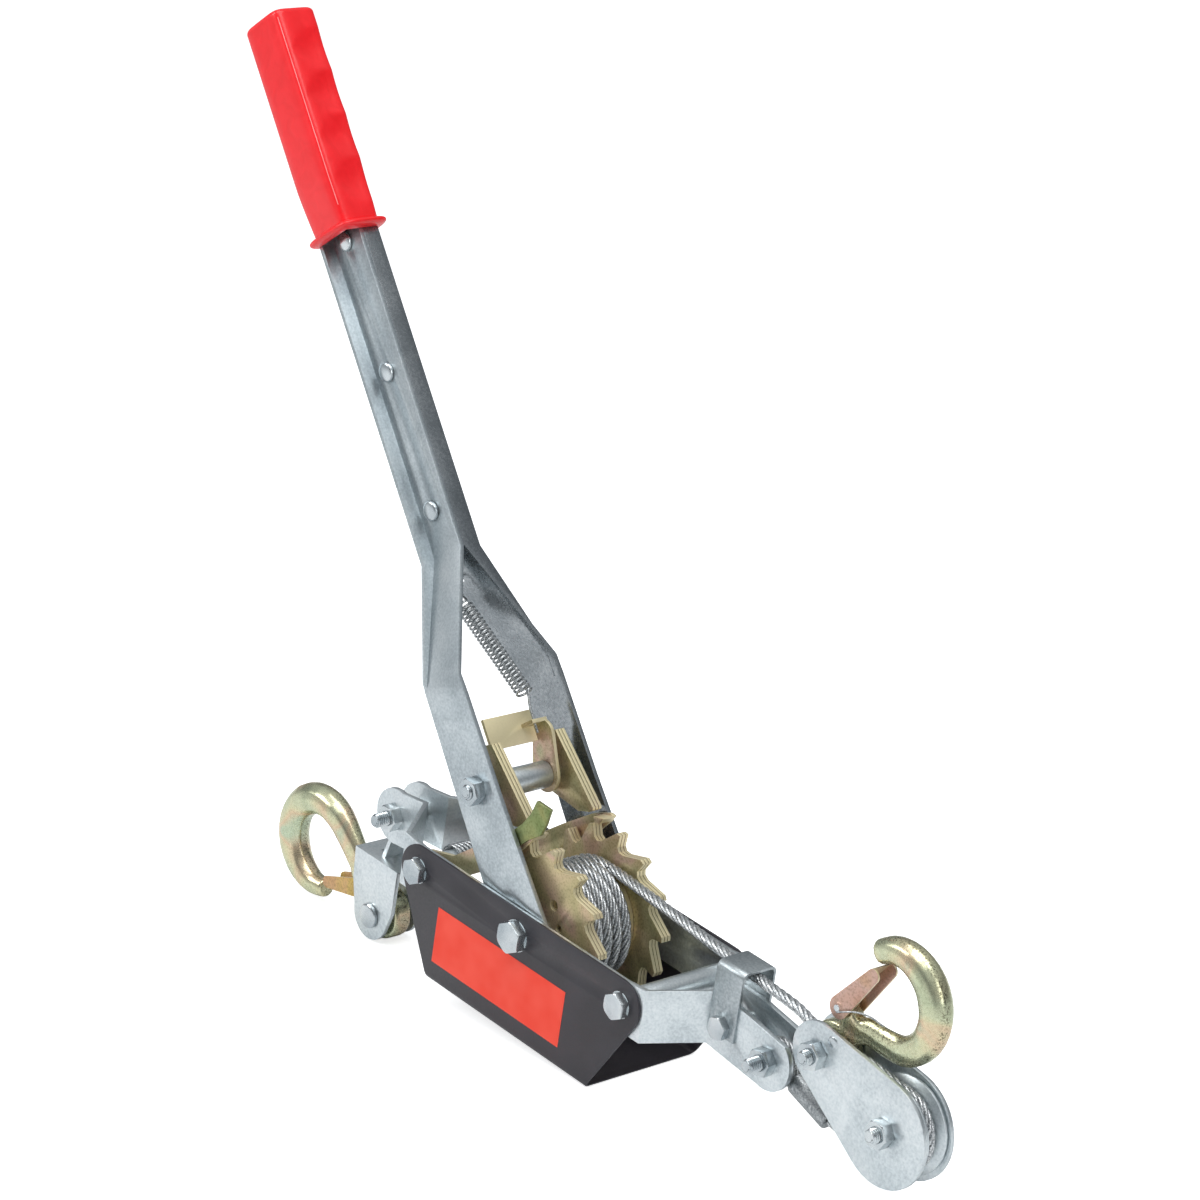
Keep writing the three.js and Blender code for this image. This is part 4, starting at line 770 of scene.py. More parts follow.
@dataclass
class Fasteners:
    """Every bolt and nut, with chamfered hexagons and real threads."""

    coat: Finish
    layout: dict[str, tuple[BoltSize, HeadSide, float]] = field(default_factory=lambda: {
        "axle": (M10, HeadSide.FRONT, 6),
        "rear_cross": (M8, HeadSide.FRONT, 6),
        "front_cross": (M8, HeadSide.FRONT, 6),
        "pawl": (M8, HeadSide.REAR, -33.3),
        "hanger": (M8, HeadSide.REAR, 22),
        "anchor": (M8, HeadSide.REAR, 12),
        "hook": (M8, HeadSide.REAR, 2),
        "sheave": (M8, HeadSide.REAR, 24),
    })
    nut_turn: float = 11.0

    def hexagon(self, name: str, size: BoltSize, height: float, bore: float = 0.0) -> Piece:
        """A hexagon up +Z from z = 0, chamfered at its far end, or at both ends if bored.

        Args:
            name: the piece's name.
            size: the bolt size.
            height: its height in mm.
            bore: the hole's radius in mm, or 0 for a bolt's head.

        Returns:
            The mesh, with its seat on z = 0.
        """
        piece = rod(name, size.corner, height, 6)
        flat = HEAD_CIRCLE * size.corner
        for turn in (0, pi) if bore else (0,):
            bpy.ops.mesh.primitive_cone_add(
                vertices=72, radius1=(flat + CHAMFER_SLOPE * height) * MM, radius2=flat * MM,
                depth=(height + 0.002) * MM, rotation=(turn, 0, 0))
            boolean(piece, "INTERSECT", bpy.context.object)
        if bore:
            boolean(piece, "DIFFERENCE", rod("drill", bore, 4 * height, 40))
        break_edges(piece, 0.2, 25)
        piece.location = (0, 0, height / 2 * MM)
        return settle(piece)

    def thread(self, name: str, size: BoltSize, length: float) -> Piece:
        """A threaded rod up +Z that ends at z = 0 with a chamfered tip, length mm long."""
        pitch = size.pitch
        turns = round(length / pitch) + 1
        root = size.shank - THREAD_DEPTH * pitch
        rows = [(root, -0.44), (size.shank, -0.06), (size.shank, 0.06), (root, 0.44), (root, 0.56)]
        piece = outline(name, [(r, h * pitch) for r, h in rows])
        with_modifier(
            piece, "SCREW", angle=tau, screw_offset=pitch * MM, iterations=turns, steps=28, render_steps=28)
        edit(piece, 0.01)
        tip = turns * pitch
        for vertex in piece.data.vertices:
            height = vertex.co.z / MM
            across = hypot(vertex.co.x, vertex.co.y) / MM
            limit = size.shank - max(0.0, height - (tip - TIP_CHAMFER))
            if across > limit:
                vertex.co.x *= limit / across
                vertex.co.y *= limit / across
            vertex.co.z = (min(max(height, 0.0), tip) - tip) * MM
        core = break_edges(rod("core", root + 0.02, tip, 28, -tip / 2), 0.4, 50)
        return smooth(joined(name, [piece, core]), 30)

    def place(self, piece: Piece, centre: Vector, seat: float, away: int, turn: float = 0.0) -> Piece:
        """Stands a +Z piece on a Y value, pointing away from it, turned about its own axis."""
        flip = Matrix.Rotation(0 if away > 0 else pi, 4, "X")
        stand = Matrix.Translation((centre.x, seat, centre.z)) @ Matrix.Rotation(radians(turn), 4, "Y")
        piece.data.transform(stand @ flip @ TO_Y)
        return piece

    def shank(self, size: BoltSize, sides: int, centre: Vector, ends: Pair, extra: float) -> Piece:
        """A plain shank between two Y values, and longer by extra mm in all."""
        length = abs(ends[1] - ends[0]) / MM + extra
        piece = rod("shank", size.shank - SHANK_DRAW, length, sides)
        return self.place(piece, centre, (ends[0] + ends[1]) / 2, 1)

    def guide_screw(self) -> None:
        """The hex-headed screw through the guide strap, threaded into its rear leg."""
        low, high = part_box("guide_screw")
        centre, seat = (low + high) / 2, low.y + M6.head * MM
        head = self.place(self.hexagon("guide_head", M6, M6.head - SEAT_GAP), centre, seat, -1, 17)
        end = self.place(self.thread("guide_thread", M6, 6.0), centre, high.y, 1)
        shank = self.shank(M6, 32, centre, (seat, high.y - 3 * MM), 0.0)
        whole = smooth(joined("guide_screw_turned", [head, end, shank]), 30)
        finish_piece(whole, "frame", self.coat, ["guide_screw"])

    def build(self) -> None:
        """Makes each bolt with its head, collar, shank and thread, and its nut."""
        self.guide_screw()
        for name, (size, side, turn) in self.layout.items():
            low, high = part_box(f"{name}_bolt")
            nut_low, nut_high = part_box(f"{name}_nut")
            centre = (low + high) / 2
            toward = side.value
            front = side is HeadSide.FRONT
            seat = (low.y if front else high.y) - toward * size.head * MM
            tip = high.y if front else low.y
            nut_seat = nut_low.y if front else nut_high.y
            head = self.hexagon(f"{name}_head", size, size.head - SEAT_GAP)
            self.place(head, centre, seat, toward, turn)
            collar = rod("collar", COLLAR_SHARE * size.corner, 0.5, 48, 0.25)
            self.place(collar, centre, seat, toward)
            reach = abs(tip - nut_seat) / MM + 1.0
            end = self.place(self.thread(f"{name}_thread", size, reach), centre, tip, -toward)
            shank = self.shank(size, 40, centre, (nut_seat, seat), 2.0)
            whole = smooth(joined(f"{name}_bolt_turned", [head, collar, end, shank]), 30)
            finish_piece(whole, body_of(f"{name}_bolt"), self.coat, [f"{name}_bolt"])
            nut = smooth(self.hexagon(f"{name}_nut_turned", size, size.nut, size.shank + 0.1), 30)
            self.place(nut, centre, nut_seat, -toward, turn + self.nut_turn)
            finish_piece(nut, body_of(f"{name}_nut"), self.coat, [f"{name}_nut"])


@dataclass
class Rivets:
    """Round-headed rivets: node, shank radius, head radius and head height in mm."""

    coat: Finish
    layout: tuple[tuple[str, float, float, float], ...] = (
        *((f"handle_rivet_{i}", 3, 5.5, 2.2) for i in (1, 2, 3)),
        ("hanger_rivet", 4, 7, 2.6),
    )
    fullness: float = 0.35      # under 1, the head's dome swells past a parabola

    def build(self) -> None:
        """Turns each rivet from a profile, as wide between its heads as its CAD node."""
        for name, shank, head, rise in self.layout:
            low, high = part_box(name)
            under = (high.y - low.y) / 2 / MM - rise
            angles = [pi / 2 * i / 8 for i in range(9)]
            dome = [(head * sin(a), under + rise * cos(a) ** self.fullness) for a in angles]
            up = [*dome, (head - 0.3, under), (shank, under)]
            piece = outline(f"{name}_headed", [*up, *((r, -h) for r, h in reversed(up))])
            with_modifier(
                piece, "SCREW", angle=tau, steps=48, render_steps=48, use_merge_vertices=True,
                merge_threshold=0.01 * MM)
            edit(piece)
            piece.data.transform(Matrix.Translation((low + high) / 2) @ TO_Y)
            finish_piece(smooth(piece, 40), body_of(name), self.coat, [name])


# ---- wire rope


@dataclass
class WireRope:
    """The 6 mm cable: six strands laid round a core."""

    coat: Finish
    radius: float = 3.0
    lay: float = 31.0
    strands: int = 6
    step: float = 1.6

    def laid(self, name: str, points: Sequence[Vector]) -> Piece:
        """Lays the strands along a route.

        Args:
            name: the piece's name.
            points: points in part metres that the rope passes through.

        Returns:
            The rope as one mesh.
        """
        route = smooth_route(points, self.step)
        strand = self.radius / 3
        ring = self.radius - strand
        last = len(route) - 1
        tangents = [(route[min(i + 1, last)] - route[max(i - 1, 0)]).normalized() for i in range(last + 1)]
        normal = Vector((0, 1, 0)) if abs(tangents[0].y) < 0.9 else Vector((1, 0, 0))
        paths: list[list[Vector]] = [[] for _ in range(self.strands)]
        run = 0.0
        for i, (place, tangent) in enumerate(zip(route, tangents)):
            normal = (normal - tangent * normal.dot(tangent)).normalized()
            side = tangent.cross(normal)
            run += (place - route[max(i - 1, 0)]).length / MM
            for k, path in enumerate(paths):
                angle = tau * (run / self.lay + k / self.strands)
                path.append(place + (normal * cos(angle) + side * sin(angle)) * ring * MM)
        return wire_piece(name, [*paths, route], strand, 2)


@dataclass
class Cable:
    """Where the rope runs: on the drum, over the guide, round the sheave and back."""

    rope: WireRope
    ferrule_coat: Finish
    drum_half: float = 18.7
    flange_gap: float = 0.3
    turn_gap: float = 0.5
    winding_radius: float = 29.8
    sheave: Pair = (243.0, 3.0)
    sheave_radius: float = 20.0
    leaves_at: float = -92.0        # degrees round the sheave
    hook_side: float = -4.3
    guide: Pair = (127.4, 32.2)
    lead_end: float = 138.9
    bight_start: Pair = (214.0, 26.9)
    ferrule_from: Pair = (172.0, -8.0)
    ferrule_to: Pair = (199.0, -16.2)
    ferrule_radii: Pair = (6.4, 5.2)
    anchor: Pair = (160.0, 0.0)
    free_from: float = 216.0

    @property
    def reach(self) -> float:
        """How far from the drum's middle the outermost turn lies."""
        return self.drum_half - self.flange_gap - self.rope.radius

    @property
    def bottom(self) -> float:
        """Height of the cable as it leaves the sheave."""
        return self.sheave[1] + self.sheave_radius * sin(radians(self.leaves_at))

    def arc(self, centre: Pair, radius: float, degrees: Iterable[float]) -> list[Vector]:
        """Points round a centre in the frame's plane."""
        x, z = centre
        turns = [radians(angle) for angle in degrees]
        return [in_frame(x + radius * cos(turn), z + radius * sin(turn)) for turn in turns]

    def winding(self) -> list[Vector]:
        """The turns on the drum, out of the core's hole and off at the top."""
        r, reach = self.winding_radius, self.reach
        turns = 2 * reach / (2 * self.rope.radius + self.turn_gap)
        start = pi / 2 + turns * tau
        bend = radians(16)

        def at_drum(angle: float, radius: float, side: float) -> Vector:
            """A point round the drum's axle."""
            return in_frame(radius * cos(angle), radius * sin(angle), side)

        points = [at_drum(start + bend, r - drop, -reach) for drop in (12, 9, 6, 3.4)]
        points += [at_drum(start + bend * part, r - drop, -reach) for part, drop in ((0.7, 1.5), (0.4, 0.5))]
        steps = round(turns * 40)
        for i in range(steps + 1):
            points.append(at_drum(start - turns * tau * i / steps, r, -reach + 2 * reach * i / steps))
        return points + route_in(in_frame, (3, r, reach), (6, r, reach))

    def lead(self) -> list[Vector]:
        """From the top of the drum to just past the guide strap."""
        r, side, end = self.winding_radius, self.reach, self.lead_end
        x, top = self.guide
        return route_in(
            in_frame, (6.3, r, side), (12.3, r, side), (50, r + 1.2, side - 5.2),
            (90, top - 0.3, side - 10.5), (x, top, 1), (end - 4, top), (end, top, -0.3))

    def upper(self) -> list[Vector]:
        """From the guide strap into the block, beside the hook's eye."""
        start, top, side = self.lead_end, self.guide[1], self.hook_side
        end, low = self.bight_start
        return route_in(
            in_frame, (start + 0.3, top, -0.4), (start + 5, top, -1), (168, 31.6, -2.6), (184, 29.2, side),
            (198, 28, side), (end - 6, low + 0.5, side + 0.6), (end - 0.45, low, side + 1.2))

    def bight(self) -> list[Vector]:
        """In the block, round the sheave."""
        side = self.hook_side
        start, top = self.bight_start
        return [
            *route_in(
                in_frame, (start, top, side + 1.2), (start + 6, top - 0.5, side + 2), (231, 24.2, -0.6)),
            *self.arc(self.sheave, self.sheave_radius, (80, 60, 30, 0, -30, -60, -85, self.leaves_at)),
            *route_in(in_frame, (228, self.bottom), (self.free_from, self.bottom)),
        ]

    def lower(self) -> list[Vector]:
        """From the sheave back to the ferrule."""
        x, z = self.ferrule_to
        start, low = self.free_from, self.bottom
        return route_in(in_frame, (start - 0.3, low), (start - 6, low), (x + 5, z - 0.6), (x + 0.6, z - 0.2))

    def eye(self) -> list[Vector]:
        """The loop round the anchor bolt."""
        radius = M8.shank + 0.6 + self.rope.radius
        x, z = self.ferrule_from
        return [
            *route_in(in_frame, (x + 6, z + 1), (x, z + 3.6)),
            *self.arc(self.anchor, radius, range(50, 261, 35)),
            *route_in(in_frame, (x - 2, z - 2.6), (x + 5, z - 4.6)),
        ]

    def ferrule(self) -> Piece:
        """The oval pressed ferrule that closes the eye."""
        (x0, z0), (x1, z1) = self.ferrule_from, self.ferrule_to
        bpy.ops.mesh.primitive_cylinder_add(vertices=48, radius=1, depth=1)
        piece = bpy.context.object
        piece.scale = Vector((*self.ferrule_radii, hypot(x1 - x0, z1 - z0))) * MM
        break_edges(settle(piece, "cable_ferrule"), 1.5, 40, 4)
        lean = Matrix.Rotation(pi / 2 - atan2(z1 - z0, x1 - x0), 4, "Y")
        middle = Matrix.Translation(((x0 + x1) / 2 * MM, 0, (z0 + z1) / 2 * MM))
        piece.data.transform(FRAME_TO_PART @ middle @ lean)
        return smooth(piece)

    def build(self) -> None:
        """Lays every stretch; the free ones stretch between the frame and the block."""
        coat = self.rope.coat
        finish_piece(self.rope.laid("cable_on_drum", self.winding()), "drum", coat, ["cable_winding"])
        finish_piece(self.rope.laid("cable_to_guide", self.lead()), "frame", coat, ["cable_lead"])
        finish_piece(self.rope.laid("cable_in_block", self.bight()), "block", coat, ["cable_bight"])
        eye = self.rope.laid("cable_eye", self.eye())
        finish_piece(eye, "frame", coat)
        finish_piece(self.ferrule(), "frame", self.ferrule_coat)
        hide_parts("cable_anchor")
        upper, lower = self.upper(), self.lower()
        for name, node, route, near, far in (
            ("cable_above", "cable_upper_span", upper, upper[0], upper[-1]),
            ("cable_below", "cable_lower_span", lower, lower[-1], lower[0]),
        ):
            piece = dress(self.rope.laid(name, route), coat)
            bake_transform(piece, "frame", "block", near, far)
            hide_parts(node)


# ---- springs and small pieces


@dataclass
class Springs:
    """The pawls' two springs and the front latch's: the first lies along the handle."""

    coat: Finish
    foot: Point = (8.0, 121.5, 9.5)         # in the handle's frame: x, height and y
    top: Point = (-11.0, 178.0, 3.0)
    hole_height: float = 192.0              # of the hole in the handle that takes the upper hook
    shelf_height: float = 99.5              # of the carrier's shelf, which takes the lower one
    plate_side: float = 6.5
    pawl_radius: float = 4.2
    pawl_turns: int = 24
    pawl_wire: float = 0.7
    torsion_base: Point = (-82.0, -16.7, 0.0)   # in the frame: x, y and height
    torsion_radius: float = 8.4
    torsion_turns: int = 7
    torsion_length: float = 18.9
    torsion_wire: float = 1.0
    latch_wire: float = 0.45

    def pawl_spring(self) -> None:
        """A tension spring from the carrier's shelf to the hole in the handle's rear half."""
        (x, foot, y), (hole, top, near), radius = self.foot, self.top, self.pawl_radius
        low, high = Vector((x, y, foot)), Vector((hole, near, top))
        lean = Vector((0, 0, 1)).rotation_difference(high - low).to_matrix().to_4x4()
        base = HANDLE_TO_PART @ Matrix.Translation(low * MM) @ lean
        shelf, end, side = self.shelf_height, self.hole_height, self.plate_side
        route = [
            *route_in(
                in_handle, (x, shelf, y), (x, shelf + 8, y), (x + 0.4, foot - 7, y),
                (x + radius * 0.7, foot - 2.4, y - 0.8)),
            *coil(base, radius, self.pawl_turns, (high - low).length),
            *route_in(
                in_handle, (hole + radius * 0.6, top + 2.6, near + 0.6), (hole + 0.5, top + 7, near),
                (hole, end - 3, side - 5), (hole, end - 0.4, side - 3.4), (hole, end, side - 2),
                (hole, end, side + 6)),
        ]
        piece = dress(wire_piece("pawl_spring_wound", [smooth_route(route, 0.9)], self.pawl_wire), self.coat)
        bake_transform(piece, "handle", "drive_pawls", in_handle(hole, top, near), in_handle(x, foot - 8, y))
        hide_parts("pawl_spring")

    def torsion_spring(self) -> None:
        """A torsion spring round the holding pawls' tube."""
        base = FRAME_TO_PART @ Matrix.Translation(Vector(self.torsion_base) * MM) @ TO_Y
        turns = coil(base, self.torsion_radius, self.torsion_turns, self.torsion_length)
        down = in_frame(0, -1) - in_frame(0, 0)
        first, last = turns[0], turns[-1]
        route = [first + down * 12, first + down * 4, *turns, last - down * 4, last - down * 14]
        piece = wire_piece("torsion_spring_wound", [route], self.torsion_wire)
        finish_piece(piece, "frame", self.coat, ["torsion_spring"])

    def latch_spring(self) -> None:
        """The wire leg that leaves the front latch's spring and lies over the hook's shank."""
        route = route_in(
            in_frame, (194.5, 43.0, -4.4), (198.3, 45.2, -4.8), (206.9, 48.8, -3.4), (214.5, 49.2, -1.4),
            (220.5, 46.8, 1.2))
        piece = wire_piece("front_latch_spring", [smooth_route(route, 0.8)], self.latch_wire)
        finish_piece(piece, "front_hook", self.coat)

    def build(self) -> None:
        """Winds the springs."""
        self.pawl_spring()
        self.torsion_spring()
        self.latch_spring()


@dataclass
class PlateDimple:
    """The half-sheared dimple that locks the hook's pin in the block's front plate."""

    coat: Finish
    place: Pair = (201.0, 31.0)
    radius: float = 3.3
    rise: float = 1.0
    sunk: float = 0.15

    def build(self) -> None:
        """A low dome whose rim lies in the plate."""
        low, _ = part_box("block_plate_front")
        bpy.ops.mesh.primitive_uv_sphere_add(segments=32, ring_count=16, radius=1)
        piece = bpy.context.object
        piece.scale = Vector((self.radius, self.rise, self.radius)) * MM
        settle(piece, "block_dimple")
        centre = in_frame(*self.place)
        piece.data.transform(Matrix.Translation((centre.x, low.y + self.sunk * MM, centre.z)))
        finish_piece(smooth(piece, 60), "block", self.coat)


@dataclass
class LatchPin:
    """The bright end of the front latch's pin, set in the copper cheek."""

    coat: Finish
    place: Pair = (194.0, 45.0)
    radius: float = 1.9
    length: float = 1.2
    proud: float = 0.35

    def build(self) -> None:
        """A short stub with a broken edge, mostly inside the rivet's head."""
        low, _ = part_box("front_latch")
        piece = break_edges(rod("front_latch_pin", self.radius, self.length, 32), 0.3, 40)
        centre = in_frame(*self.place)
        middle = low.y + (self.length / 2 - self.proud) * MM
        piece.data.transform(Matrix.Translation((centre.x, middle, centre.z)) @ TO_Y)
        finish_piece(smooth(piece, 30), "front_latch", self.coat)


# ---- hooks, grip and sticker


@dataclass
class ForgedHooks:
    """The two drop-forged hooks: CAD shapes fused and softened, as a forging is."""

    coat: Finish
    voxel: float = 0.8
    softening: int = 18

    def build(self, nodes: dict[str, Piece]) -> None:
        """Remeshes and smooths each hook."""
        for name in ("rear_hook", "front_hook"):
            piece = copy_of(nodes[name], f"{name}_forged")
            with_modifier(piece, "REMESH", mode="VOXEL", voxel_size=self.voxel * MM)
            with_modifier(piece, "SMOOTH", factor=0.5, iterations=self.softening)
            finish_piece(smooth(piece, 60), body_of(name), self.coat, [name])


def clamp(value: float) -> float:
    """A value held between 0 and 1."""
    return min(1.0, max(0.0, value))


@dataclass
class Grip:
    """The moulded vinyl grip: flat faces, four finger hollows, a seam and a thin rolled collar."""

    coat: Finish
    # the seam's finish: red painted paler, a painted highlight
    flash: Finish
    foot: float = 386.0
    top: float = 513.0
    left: float = -21.4
    right: float = 12.4
    half_thickness: float = 13.9
    squareness: float = 0.34        # the superellipse's power: the less, the tighter its corners
    neck_height: float = 34.0       # up to here the foot widens behind the handle
    neck_growth: float = 2.5
    crown: float = 3.0
    crown_draw: float = 0.17        # how much the outline shrinks over the crown
    fingers: int = 4
    hollow: float = 2.5
    hollow_start: float = 14.0      # from the foot to the first hollow
    hollow_end: float = 12.0        # from the last hollow to the top
    hollow_edge: float = 0.55       # how far across the outline a hollow begins
    far_fade: float = 0.6           # how much shallower the hollows are at the rear corner
    collar: float = 4.6             # how far the collar stands out
    collar_height: float = 4.4
    pocket: Point = (27.6, 21.6, 119.3)     # the handle's room inside
    pocket_x: float = -4.5
    seam: float = 0.26
    sides: int = 96

    def hollow_depth(self, along: float, across: float, deep: float) -> float:
        """Depth of the finger hollows: across is 1 at the fingers' side, deep is 1 at the rear face."""
        place = (along - self.hollow_start) / (self.top - self.foot - self.hollow_start - self.hollow_end)
        if across <= self.hollow_edge or not 0 <= place <= 1:
            return 0.0
        wave = abs(sin(pi * place * self.fingers))
        dip = max(0.0, wave + clamp(deep + 0.75) - 1.0) * (1 - self.far_fade * clamp((deep - 0.2) / 0.6))
        return self.hollow * dip * (across - self.hollow_edge) / (1 - self.hollow_edge)

    def ring(self, height: float) -> list[Vector]:
        """The closed outline at a height up the handle."""
        along = height - self.foot
        neck = max(0.0, 1.0 - along / self.neck_height) ** 1.4
        crown = clamp((height - self.top + self.crown) / self.crown)
        shrink = 1.0 - self.crown_draw * (1.0 - (1.0 - crown ** 2) ** 0.5)
        middle, half = (self.left + self.right) / 2, (self.right - self.left) / 2
        rolled = self.collar_height / 2
        flare = self.collar * max(0.0, 1.0 - ((along - rolled) / rolled) ** 2) ** 0.5
        points = []
        for k in range(self.sides):
            cos_t, sin_t = cos(tau * k / self.sides), sin(tau * k / self.sides)
            across = abs(cos_t) ** self.squareness * (1 if cos_t >= 0 else -1)
            deep = abs(sin_t) ** self.squareness * (1 if sin_t >= 0 else -1)
            grown = neck * self.neck_growth * (1 if across < 0 else -0.3) * abs(across)
            x = middle + half * across * shrink + grown
            y = self.half_thickness * deep * shrink * (1 - 0.1 * neck)
            x -= self.hollow_depth(along, across, y / self.half_thickness)
            if flare:
                length = hypot(x - middle, y)
                x, y = x + (x - middle) / length * flare, y + y / length * flare
            points.append(in_handle(x, height, y))
        return points

    def heights(self) -> list[float]:
        """The outlines' heights: close at the collar and the crown, wider between."""
        low, high = self.foot, self.top
        count = int((high - low - 5.6 - self.crown) / 1.5) + 1
        return [
            *(low + 0.2 * i for i in range(23)),
            *(low + 4.6 + 1.5 * i for i in range(count)),
            *(high - self.crown + self.crown * sin(pi / 2 * i / 12) for i in range(13)),
        ]

    def build(self) -> None:
        """Lofts the outlines, closes the top and opens the foot round the handle."""
        rings = [self.ring(height) for height in self.heights()]
        n, last = self.sides, len(rings) - 1
        faces = [
            (i * n + k, i * n + (k + 1) % n, (i + 1) * n + (k + 1) % n, (i + 1) * n + k)
            for i in range(last) for k in range(n)
        ]
        faces += [tuple(range(last * n, len(rings) * n)), tuple(reversed(range(n)))]
        mesh = bpy.data.meshes.new("grip_moulded")
        mesh.from_pydata([tuple(point) for ring in rings for point in ring], [], faces)
        piece = add_object("grip_moulded", mesh)
        pocket = cuboid("pocket", self.pocket)
        middle = Vector((self.pocket_x, 0, self.foot - 5 + self.pocket[2] / 2))
        pocket.data.transform(HANDLE_TO_PART @ Matrix.Translation(middle * MM))
        edit(boolean(piece, "DIFFERENCE", pocket))
        finish_piece(smooth(piece, 32), body_of("grip"), self.coat, ["grip"])
        corner = self.sides * 7 // 8
        count = int((self.top - self.foot - 16) / 4) + 1
        line = [self.ring(self.foot + 14 + 4 * i)[corner] for i in range(count)]
        # the seam's bead along one corner, coloured with the painted highlight of its finish
        finish_piece(wire_piece("grip_seam", [line], self.seam), body_of("grip"), self.flash)


@dataclass
class Sticker:
    """The bare red-orange sticker on the cover's front."""

    coat: Finish
    low: Pair = (-62.0, -44.8)
    high: Pair = (42.0, -12.7)
    face: float = -39.0
    film: float = 0.12

    def build(self) -> None:
        """A thin film that lies on the front face."""
        (x0, z0), (x1, z1) = self.low, self.high
        piece = cuboid("sticker", (x1 - x0, self.film, z1 - z0))
        middle = Vector(((x0 + x1) / 2, self.face - self.film / 2, (z0 + z1) / 2))
        piece.data.transform(FRAME_TO_PART @ Matrix.Translation(middle * MM))
        finish_piece(piece, "frame", self.coat)


# ---- studio


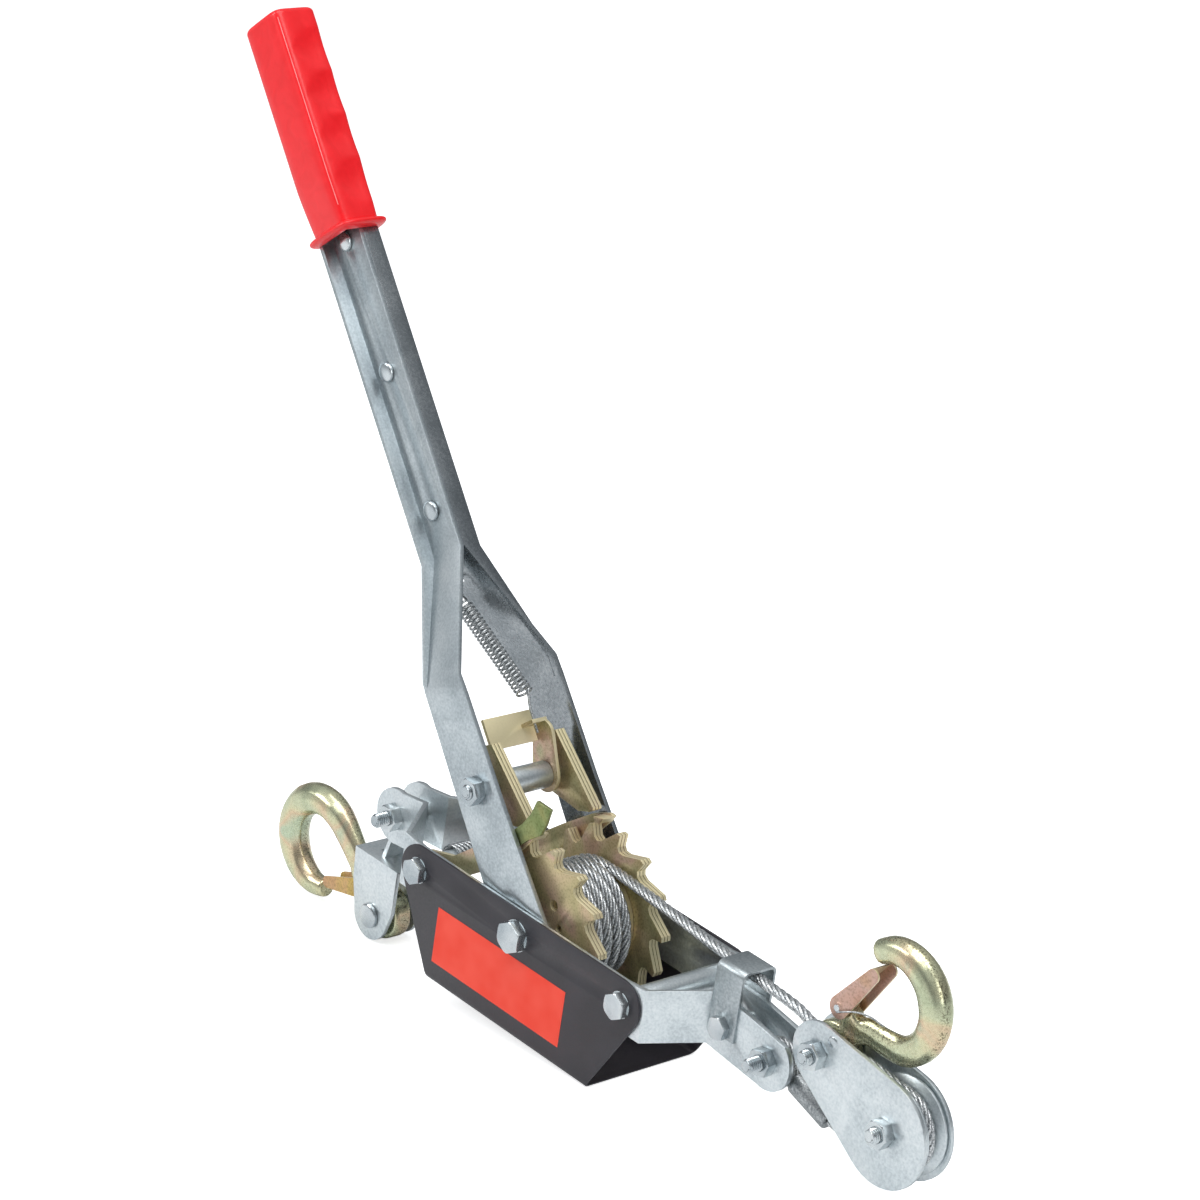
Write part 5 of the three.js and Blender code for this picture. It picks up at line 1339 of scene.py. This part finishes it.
@dataclass
class Studio:
    """Camera, lights, floor and world for a packshot on white."""

    azimuth: float = 45.88
    elevation: float = 21.97
    roll: float = 8.39
    distance: float = 1999.16
    target: Point = (-14.91, -0.25, 176.65)
    lens: float = 117.84
    floor_level: float = -6.75
    aim: Point = (0, 0, 0.15)       # metres, as the lamps' places and sizes are
    lamps: tuple[tuple[str, Point, Pair, float], ...] = (
        ("overhead_box", (0.2, -0.3, 1.9), (1.6, 1.4), 22),
        ("key_box", (-1.3, -1.5, 1.3), (1.0, 1.2), 19),
        ("side_box", (1.9, -0.4, 0.9), (0.8, 1.2), 7),
    )

    def camera(self) -> None:
        """Puts the camera where the photograph was taken."""
        a, e, r = radians(self.azimuth), radians(self.elevation), radians(self.roll)
        back = Vector((sin(a) * cos(e), -cos(a) * cos(e), sin(e)))
        right = Vector((cos(a), sin(a), 0))
        up = back.cross(right)
        right, up = right * cos(r) + up * sin(r), up * cos(r) - right * sin(r)
        place = Vector(self.target) * MM + back * self.distance * MM
        axes = Matrix((right, up, back)).transposed().to_4x4()
        bpy.ops.object.camera_add()
        camera = bpy.context.object
        camera.name = "photo_camera"
        camera.matrix_world = FRAME_TO_PART @ Matrix.Translation(place) @ axes
        camera.data.lens = self.lens
        camera.data.sensor_width = 36
        camera.data.clip_start = 0.05
        camera.data.clip_end = 50
        bpy.context.scene.camera = camera

    def lamp(self, name: str, place: Point, size: Pair, watts: float) -> None:
        """A rectangular soft box that faces the winch."""
        bpy.ops.object.light_add(type="AREA", location=place)
        lamp = bpy.context.object
        lamp.name = name
        lamp.data.shape = "RECTANGLE"
        lamp.data.size, lamp.data.size_y = size
        lamp.data.energy = watts
        lamp.rotation_euler = (Vector(self.aim) - Vector(place)).to_track_quat("-Z", "Y").to_euler()

    def floor(self) -> None:
        """A pale floor, brightened for the camera alone, so that it prints white but keeps the shadow."""
        bpy.ops.mesh.primitive_plane_add(size=14, location=(0, 0, self.floor_level * MM))
        plane = bpy.context.object
        plane.name = "floor"
        material = bpy.data.materials.new("pale_paper")
        material.use_nodes = True
        shading = Shading(material.node_tree)
        glow = shading.maths("MULTIPLY", shading.node("LightPath").outputs["Is Camera Ray"], 0.7)
        shading.plug(shading.tree.nodes["Principled BSDF"], {
            "Base Color": linear("#f4f5f6"), "Roughness": 0.85,
            "Emission Color": (1, 1, 1, 1), "Emission Strength": glow,
        })
        plane.data.materials.append(material)

    def world(self) -> None:
        """A white room with darker sides, which gives the metal its contrast."""
        world = bpy.data.worlds.new("studio")
        world.use_nodes = True
        bpy.context.scene.world = world
        shading = Shading(world.node_tree)
        height = shading.axis(shading.node("TexCoord").outputs["Generated"], "Z")
        room = shading.ramp(shading.mapped(height, (-0.2, 1.0)), [
            (0.0, "#ffffff"), (0.2, "#e8ebee"), (0.36, "#6f747a"), (0.5, "#8b9096"), (0.75, "#e3e7ea"),
            (1.0, "#ffffff")])
        seen = shading.mix(shading.node("LightPath").outputs["Is Camera Ray"], room, (1, 1, 1, 1))
        shading.plug(shading.tree.nodes["Background"], {"Color": seen, "Strength": 0.62})

    def build(self) -> None:
        """Lights the set."""
        for lamp in self.lamps:
            self.lamp(*lamp)
        self.floor()
        self.world()
        bpy.context.scene.view_settings.view_transform = "Standard"


# ---- the winch


def coats_by_node() -> dict[str, Finish]:
    """The finish of each sheet or turned node that keeps its CAD shape."""
    zinc, yellow = BrightZincSheet(), YellowChromate()
    coats: dict[str, Finish] = {
        "guide_strap": GuideStrapZinc(),
        "cover": BlackPaint(),
        "release_lever": GreenChromate(),
        "rear_latch": BrassyChromate(),
        "front_latch": CopperChromate(),
        "drum_core": yellow,
        "pawl_carrier": yellow,
        # the handle's halves take darker copies of the zinc: painted shade
        "handle_half_front": ShadedFrontHandleZinc(),
        "handle_half_rear": ShadedZincPressing(),
    }
    for name in ("frame_plate_front", "frame_plate_rear", "hook_hanger", "block_plate_front",
                 "block_plate_rear", "sheave", "pawl_sleeve", "holding_pawl_tube", "front_spacer_tube"):
        coats[name] = zinc
    for side in ("front", "rear"):
        coats[f"drive_pawl_{side}"] = yellow
        coats[f"holding_pawl_{side}"] = yellow
        for ply in ("inner", "middle", "outer"):
            coats[f"{side}_wheel_{ply}"] = yellow
    return coats


def main() -> None:
    """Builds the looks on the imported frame."""
    logging.basicConfig(level=logging.WARNING)
    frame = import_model()
    studio = Studio()
    studio.camera()
    nodes = frame["nodes"]
    fastener = ZincFastener()
    PressedParts(coats_by_node()).build(nodes)
    Fasteners(fastener).build()
    Rivets(fastener).build()
    Cable(WireRope(GalvanisedWire()), PressedSleeve()).build()
    Springs(SpringWire()).build()
    ForgedHooks(ForgedChromate()).build(nodes)
    Grip(RedVinyl(), VinylSeamHighlight()).build()
    Sticker(StickerFilm()).build()
    PlateDimple(fastener).build()
    LatchPin(fastener).build()
    studio.build()


if __name__ == "__main__":
    main()
